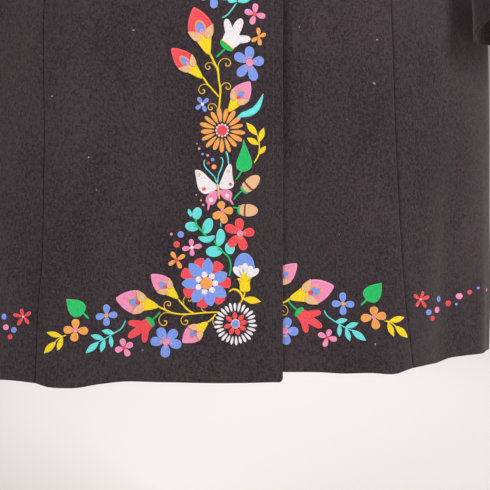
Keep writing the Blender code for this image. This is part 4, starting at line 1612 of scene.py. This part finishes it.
# %% Acorns, small flowers and blue-green leaves
strip.acorn((20.4, 192.6), (37, 208), 12.2, ((22, 194.5), (16, 190), (11.2, 183.8)))
strip.acorn((15.6, 174.2), (35.8, 173.2), 12.3, ((17.5, 174.2), (14.5, 176.2), (10.6, 176.4)))
strip.flower((0.5, 173.2), (9.8, 10.6, 13, 11.8), (102, 1, -81, -141), 7.8, "orange", "pink", 1.9)
strip.cord(((-1.2, 161.5), (-1.4, 159), (-0.9, 156.8)), 1.3, "turquoise")
for base, tip, width, bend in (
    ((-30.7, 167.4), (-33.6, 174.8), 3.6, 0), ((-26.8, 164.4), (-23.3, 176.6), 9.4, 0),
    ((-23.6, 156.2), (-36.8, 158.6), 9.6, 0), ((-16.9, 150.4), (-11.6, 165.6), 10, 0),
    ((-23.8, 146.4), (-7, 147.6), 6.6, 2.6), ((-3.6, 138), (-1.2, 155.2), 9, 1),
    ((0.4, 132.8), (-16.2, 132), 11, 0), ((8.6, 129.4), (7, 142), 10, 0),
):
    strip.patch("round", base, tip, width, "turquoise", bend=bend)
strip.cord(
    ((-26.4, 166.2), (-26.1, 160.6), (-19.8, 152.5), (-15.4, 147.4)), (2.0, 2.6), "green", 1
)
for path in (
    ((-29.2, 158), (-25.6, 157.4), (-23, 156)), ((-16.8, 157.6), (-18.2, 154.4), (-19.6, 152.4)),
    ((-5, 133.6), (-1.4, 134.2), (0.6, 132.6)),
):
    strip.cord(path, (1.0, 1.8), "green", 1)
leaf_stem = (
    (-8.2, 143.4), (-3.7, 136.7), (0.5, 132.2), (6.2, 126.9), (8.6, 119.9), (8.6, 114.3),
    (7.1, 107.6),
)
strip.cord(leaf_stem, (1.9, 1.7), "green", 1)
red_petals = (94, 8, -76, -130, 153)
strip.flower((18.1, 150.3), (15.5, 14.4, 17.2, 17, 16.6), red_petals, 9, "red", "pink", 3.3, 1)
strip.strokes((18.1, 150.3), red_petals, 3.8, 7.0, "orange")
strip.flower((-30.1, 136.3), (8.7, 10, 8.3, 9.9), (97, 11, -88, -171), 5.0, "pink", "white", 1.9)
strip.flower((-45.4, 124.1), 9.6, (124, 29, -64, -147), 4.5, "orange", "red", 2.1)
print(len(strip.points), "patches and cords")

# %% [markdown]
# ### Blue bell and big flower
# The bell hangs its white lobes out of a blue dome above a yellow vase. The big flower has
# red petals beneath, blue ones over them, a white ring and a round heart, and the daisy
# below it is a wheel of thin white petals. Each is laid from the lowest layer up.

# %% Blue bell
strip.patch("egg", (22.6, 107.6), (22, 131), 20.6, "blue")
strip.patch("wedge", (23.2, 106), (23.2, 117.4), 14, "white", 1, rim=False)
for tip, root in (
    ((11.6, 117), 20), ((17.6, 118.6), 21.6), ((23.2, 121), 23), ((29.4, 118), 24.6),
    ((36.6, 115), 26.4),
):
    strip.patch("petal", (root, 106), tip, 6.4, "white", 2, rim=False)
strip.patch("vase", (23.3, 91.8), (22.2, 106.4), 15, "yellow", 4, rim=False)
strip.patch("pointed", (22.3, 101), (22.2, 111.8), 6.4, "yellow", 4, rim=False)
strip.cord(((23.2, 93), (21.6, 87), (18.5, 80.6)), (1.9, 1.5), "yellow")
curled = ((20.6, 84.5), (19, 89.8), (15.8, 93.2), (10.8, 94.4), (6.7, 91.6))
strip.cord(curled, (1.8, 2.6, 1.3), "yellow")
strip.patch("leaf", (20.8, 85), (38.9, 82.2), 7.2, "yellow")
print(len(strip.points), "patches and cords")

# %% The big flower and the white daisy
big = (-15.6, 100.6)
red_angles, red_reach = (108, 56, 1, -51, -101, -153, 155), (26, 24.8, 24.4, 25.2, 25.3, 25, 27.4)
strip.ring("wedge", big, red_angles, 9, red_reach, 10.6, "red")
blue_angles, blue_reach = (86, 131, 25, 181, -34, -78, -126), (25.4, 26.4, 23, 25, 24, 23.6, 23.6)
strip.ring("pointed", big, blue_angles, 7.5, blue_reach, 11.4, "blue", 1)
strip.ring("round", big, around(7, 103), 5.4, 11.8, 6, "white", 2)
strip.dots([(*big, 12.8, "salmon")], 3)
strip.dots([(*big, 10.4, "orange")], 4)

white_daisy, petals = (13.5, 59.8), np.arange(26)
near, far = 12.4 + 0.5 * np.sin(3.7 * petals), 21.2 + 0.7 * np.sin(2.1 * petals)
strip.ring("petal", white_daisy, around(26, 92), near, far, 2.9, "white", rim=False)
star_angles = (95, 48, 10, -31, -75, -118, -164, 143)
strip.ring("pointed", white_daisy, star_angles, 4.8, 12, 4.8, "red", 1)
strip.dots([(*white_daisy, 9.6, 9.8, "peach")], 2)
strip.dots([(*white_daisy, 7.4, 7.8, "blue")], 3)
strip.sew("embroidery_front_strip")

# %% [markdown]
# ## The sprays along the hem
# One spray spreads to each side from the foot of the strip. The one on the left front
# starts beneath the lap, so its inner flowers are partly hidden.

# %% Spray on the right front
spray = Embroidery("front_right_cloth")
spray.cord(
    ((-65, 77.6), (-58, 74.2), (-50, 70.8), (-39, 69.4), (-29.3, 69.9), (-16.7, 71), (-2.4, 71.6)),
    (1.9, 1.5), "yellow",
)
spray.cord(((-44.4, 85.2), (-38.6, 78.3), (-32, 72.2), (-28, 70.4)), (1.7, 1.9), "yellow")
spray.cord(((-6, 69.8), (-10, 65), (-15.4, 60.8)), (1.7, 1.6), "yellow")
for start, eye, hand in (
    ((-54.7, 73.2), (-53.6, 79.2), -1), ((-49, 69.8), (-57.4, 61.6), 1),
    ((-34.6, 69), (-36.4, 62), 1),
):
    spray.curl(start, eye, hand)
spray.cord(((-38.1, 79.1), (-38.7, 82.9), (-37, 87.1)), (1.1, 0.9), "gold")
spray.cord(((-30.6, 84.8), (-31.4, 82.8), (-33, 82.5), (-33.8, 84)), (0.9, 1.3), "gold")
spray.cord(((-8.2, 66.8), (-9.4, 61.8), (-7.4, 57.6)), (1.0, 1.0), "gold")
spray.cord(((-15, 71.3), (-18.9, 72.6), (-21, 76)), (1.1, 0.9), "gold")
spray.bud((-44, 85.4), (-71, 109.4), 18, "pink", "red")
spray.bud((-64, 77), (-106.8, 85.2), 23.5, "pink", "red")
spray.bud((-14.6, 61.4), (-39.6, 41.2), 18, "pink", "red")
spray.bell(
    (-71.6, 62.2), 221, 14.6,
    (((-94.6, 60.8), 7.2), ((-94.6, 45.8), 8), ((-78.2, 40.6), 7.0)), "red",
    ((-69.6, 64), (-66.2, 67), (-61.8, 71.8)),
)
hem_petals = (117, 49, -12, -94, 178)
spray.flower((-56.1, 41.6), 15.8, hem_petals, 9.6, "blue", "pink", 3.4)
spray.strokes((-56.1, 41.6), hem_petals, 3.8, 6.8, "peach")
spray.flower((-98.6, 35.2), 9.6, (104, 26, -61, -163), 6.2, "pink", "red", 2.1)
spray.flower((-116.2, 68.2), 10.9, (90, 2, -90, -169), 6.8, "blue", "orange", 2.2)
spray.flower((-146.4, 53.2), 11.4, (92, -4, -100, 176), 8.0, "orange", "pink", 2.2, widen=1.08)
spray.cord(((-139.8, 71), (-136.5, 67.6), (-133.6, 64.8)), (2.2, 2.4), "green")
spray.patch("aspen", (-139.4, 69.6), (-156, 84.4), 17.2, "green")
spray.sprig(
    ((-156, 48.3), (-160.4, 46.8), (-166.6, 42.2)),
    (
        ((-160, 47.3), (-175.5, 50.8), 5.6), ((-159.7, 46.4), (-164.3, 32.8), 5.6),
        ((-166, 42), (-178, 29.8), 6.4),
    ),
    "yellow", 1.4,
)
spray.sprig(
    ((-97.2, 62.7), (-101.3, 55), (-109.4, 49.7), (-118.6, 44), (-124.3, 41.3)),
    (
        ((-108.6, 50), (-120.8, 52.6), 5.4), ((-112.4, 48), (-111, 35.4), 4.6),
        ((-118.6, 44.2), (-131.8, 48.2), 5.4), ((-118, 44), (-121.8, 31), 5.2),
        ((-123.6, 41.6), (-136.6, 30.2), 6.2),
    ),
    "turquoise", 1.4,
)
spray.sew("embroidery_hem_front_right")

# %% Spray on the left front
spray = Embroidery("front_left_cloth")
spray.cord(((69.4, 85.4), (64.5, 82), (58, 79.4), (50, 78.6)), (2.0, 1.7), "yellow")
spray.curl((60.4, 78.6), (61.4, 71.2), -1)
spray.cord(((66, 83), (69.5, 78.5), (75.4, 73.4)), (1.6, 2.2), "green")
spray.bud((47.8, 94.6), (75.4, 120), 18, "pink", "red")
spray.bud((68.2, 84.6), (112.6, 97.4), 25, "pink", "red")
spray.bell(
    (77.2, 71.6), 318, 14.6, (((99.8, 71.2), 7.2), ((100.6, 55.8), 8), ((85, 50.2), 7.0)), "red",
    ((66, 83), (69.5, 78.5), (75.4, 73.4)),
)
lap_petals = (73, -2, -80, -145, 145)
spray.flower((62.9, 52), 14.2, lap_petals, 9, "blue", "pink", 3.4)
spray.strokes((62.9, 52), lap_petals, 3.8, 6.8, "peach")
spray.flower((106, 45.4), (8.6, 10, 9.8, 10), (72, -13, -108, 157), 5.6, "pink", "red", 1.9)
spray.flower((121.8, 79.6), 11.4, (93, -5, -90, 180), 7.0, "blue", "orange", 2.1)
spray.flower((152.4, 66.4), (10.6, 12, 12.6, 13), (90, 8, -78, -172), 8.4, "orange", "pink", 2.2)
spray.cord(((146.2, 84.6), (142.6, 81), (139.4, 78)), (2.2, 2.4), "green")
spray.patch("aspen", (145.4, 83.2), (160, 100.6), 17.4, "green")
spray.sprig(
    ((162.5, 62.6), (166.4, 62), (170, 60), (174, 56.5)),
    (
        ((166.6, 62.2), (182.8, 65.8), 6.2), ((165.8, 61.6), (171.2, 47), 5.6),
        ((172.6, 57.4), (187, 45.2), 7.2),
    ),
    "yellow", 1.4,
)
spray.sprig(
    ((102.6, 73), (105.2, 68.2), (113.2, 62), (118.5, 58.7), (124.8, 55), (131.7, 52.3)),
    (
        ((114, 61), (126.4, 63.6), 5.4), ((118.2, 59), (118.2, 46.2), 5.0),
        ((124, 55.6), (137.2, 60.2), 5.6), ((124.4, 55), (128.8, 41.8), 5.4),
        ((130.4, 53), (144.6, 42.4), 6.8),
    ),
    "turquoise", 1.4,
)
spray.sew("embroidery_hem_front_left")

# %% Stars and dots on the side panels
ends = Embroidery("side_right_cloth")
ends.flower(
    (-201.2, 66), (8.4, 8.9, 9.0, 10.5, 10.6), (110, 32, -51, -123, 170), 3.8, "red", "white", 1.0,
    widen=1.1,
)
ends.dots((
    (-222.5, 65.5, 5.4, 6.3, "blue"), (-220, 54.7, 6.3, 6.0, "pink"),
    (-211.3, 52.3, 5.9, 6.0, "blue"), (-215.2, 45.1, 4.8, 5.0, "red"),
))
ends.sew("embroidery_hem_side_right")

ends = Embroidery("side_left_cloth")
ends.flower(
    (205.2, 83), (8.9, 10, 10.3, 8.4, 8.4), (69, 14, -55, -122, 144), 4.0, "red", "white", 1.0,
    widen=1.3,
)
ends.dots((
    (235.7, 82, 7.4, 6.2, "blue"), (252, 76.7, 7.4, 6.2, "red"), (232.5, 70.8, 9.0, 6.6, "pink"),
    (217.2, 69.2, 9.4, 6.0, "blue"), (224, 62.7, 7.2, 5.6, "red"), (262.4, 75.6, 3.5, 3.0, "blue"),
    (266.3, 84, 8.9, 6.6, "pink"), (280.6, 88, 6.4, 5.0, "red"), (292.5, 92.1, 4.3, 3.0, "blue"),
    (315, 88.8, 5.0, 4.0, "pink"),
))
ends.sew("embroidery_hem_side_left")

# %% [markdown]
# ## The room
# The coat hangs in plain soft light above a pale floor. A large soft lamp stands high in
# front, to the right, so that the sleeve shades the skirt beside it.


# %% Floor and light
FLOOR_HEIGHT = -1.42
FLOOR_SHADE, ROOM_SHADE, ROOM_STRENGTH = (0.90, 0.860, 0.848, 1.0), (0.90, 0.84, 0.82, 1.0), 0.32
# Columns: the name, the place, what it is aimed at, the size and the power.
LAMPS = (
    ("key", (1.9, -2.0, 0.75), (0.05, -0.1, -0.75), 0.8, 79.0),
    ("fill", (-1.4, -2.0, 0.7), (-0.1, 0.0, -0.55), 1.4, 38.0),
    ("floor_light", (0.25, 2.6, 1.2), (0.25, 2.2, FLOOR_HEIGHT), 3.0, 58.0),
)

bpy.ops.mesh.primitive_grid_add(
    x_subdivisions=8, y_subdivisions=8, size=40, location=(0, 0, FLOOR_HEIGHT)
)
floor = bpy.context.object
floor.name = "floor"
pale = new_finish("pale_floor", Roughness=0.9, Specular_IOR_Level=0.1, Base_Color=FLOOR_SHADE)
floor.data.materials.append(pale[0])

world = bpy.data.worlds.new("soft_light")
bpy.context.scene.world = world
world.use_nodes = True
background = world.node_tree.nodes["Background"]
background.inputs["Color"].default_value = ROOM_SHADE
background.inputs["Strength"].default_value = ROOM_STRENGTH

for name, at, target, size, power in LAMPS:
    data = bpy.data.lights.new(name, "AREA")
    data.energy, data.size = power, size
    light = bpy.data.objects.new(name, data)
    light.location = at
    x, y, z = np.array(target) - at
    light.rotation_euler = (math.atan2(math.hypot(x, y), -z), 0, math.atan2(-x, y))
    bpy.context.scene.collection.objects.link(light)
bpy.context.scene.view_settings.view_transform = "Standard"
print("lamps", [row[0] for row in LAMPS])
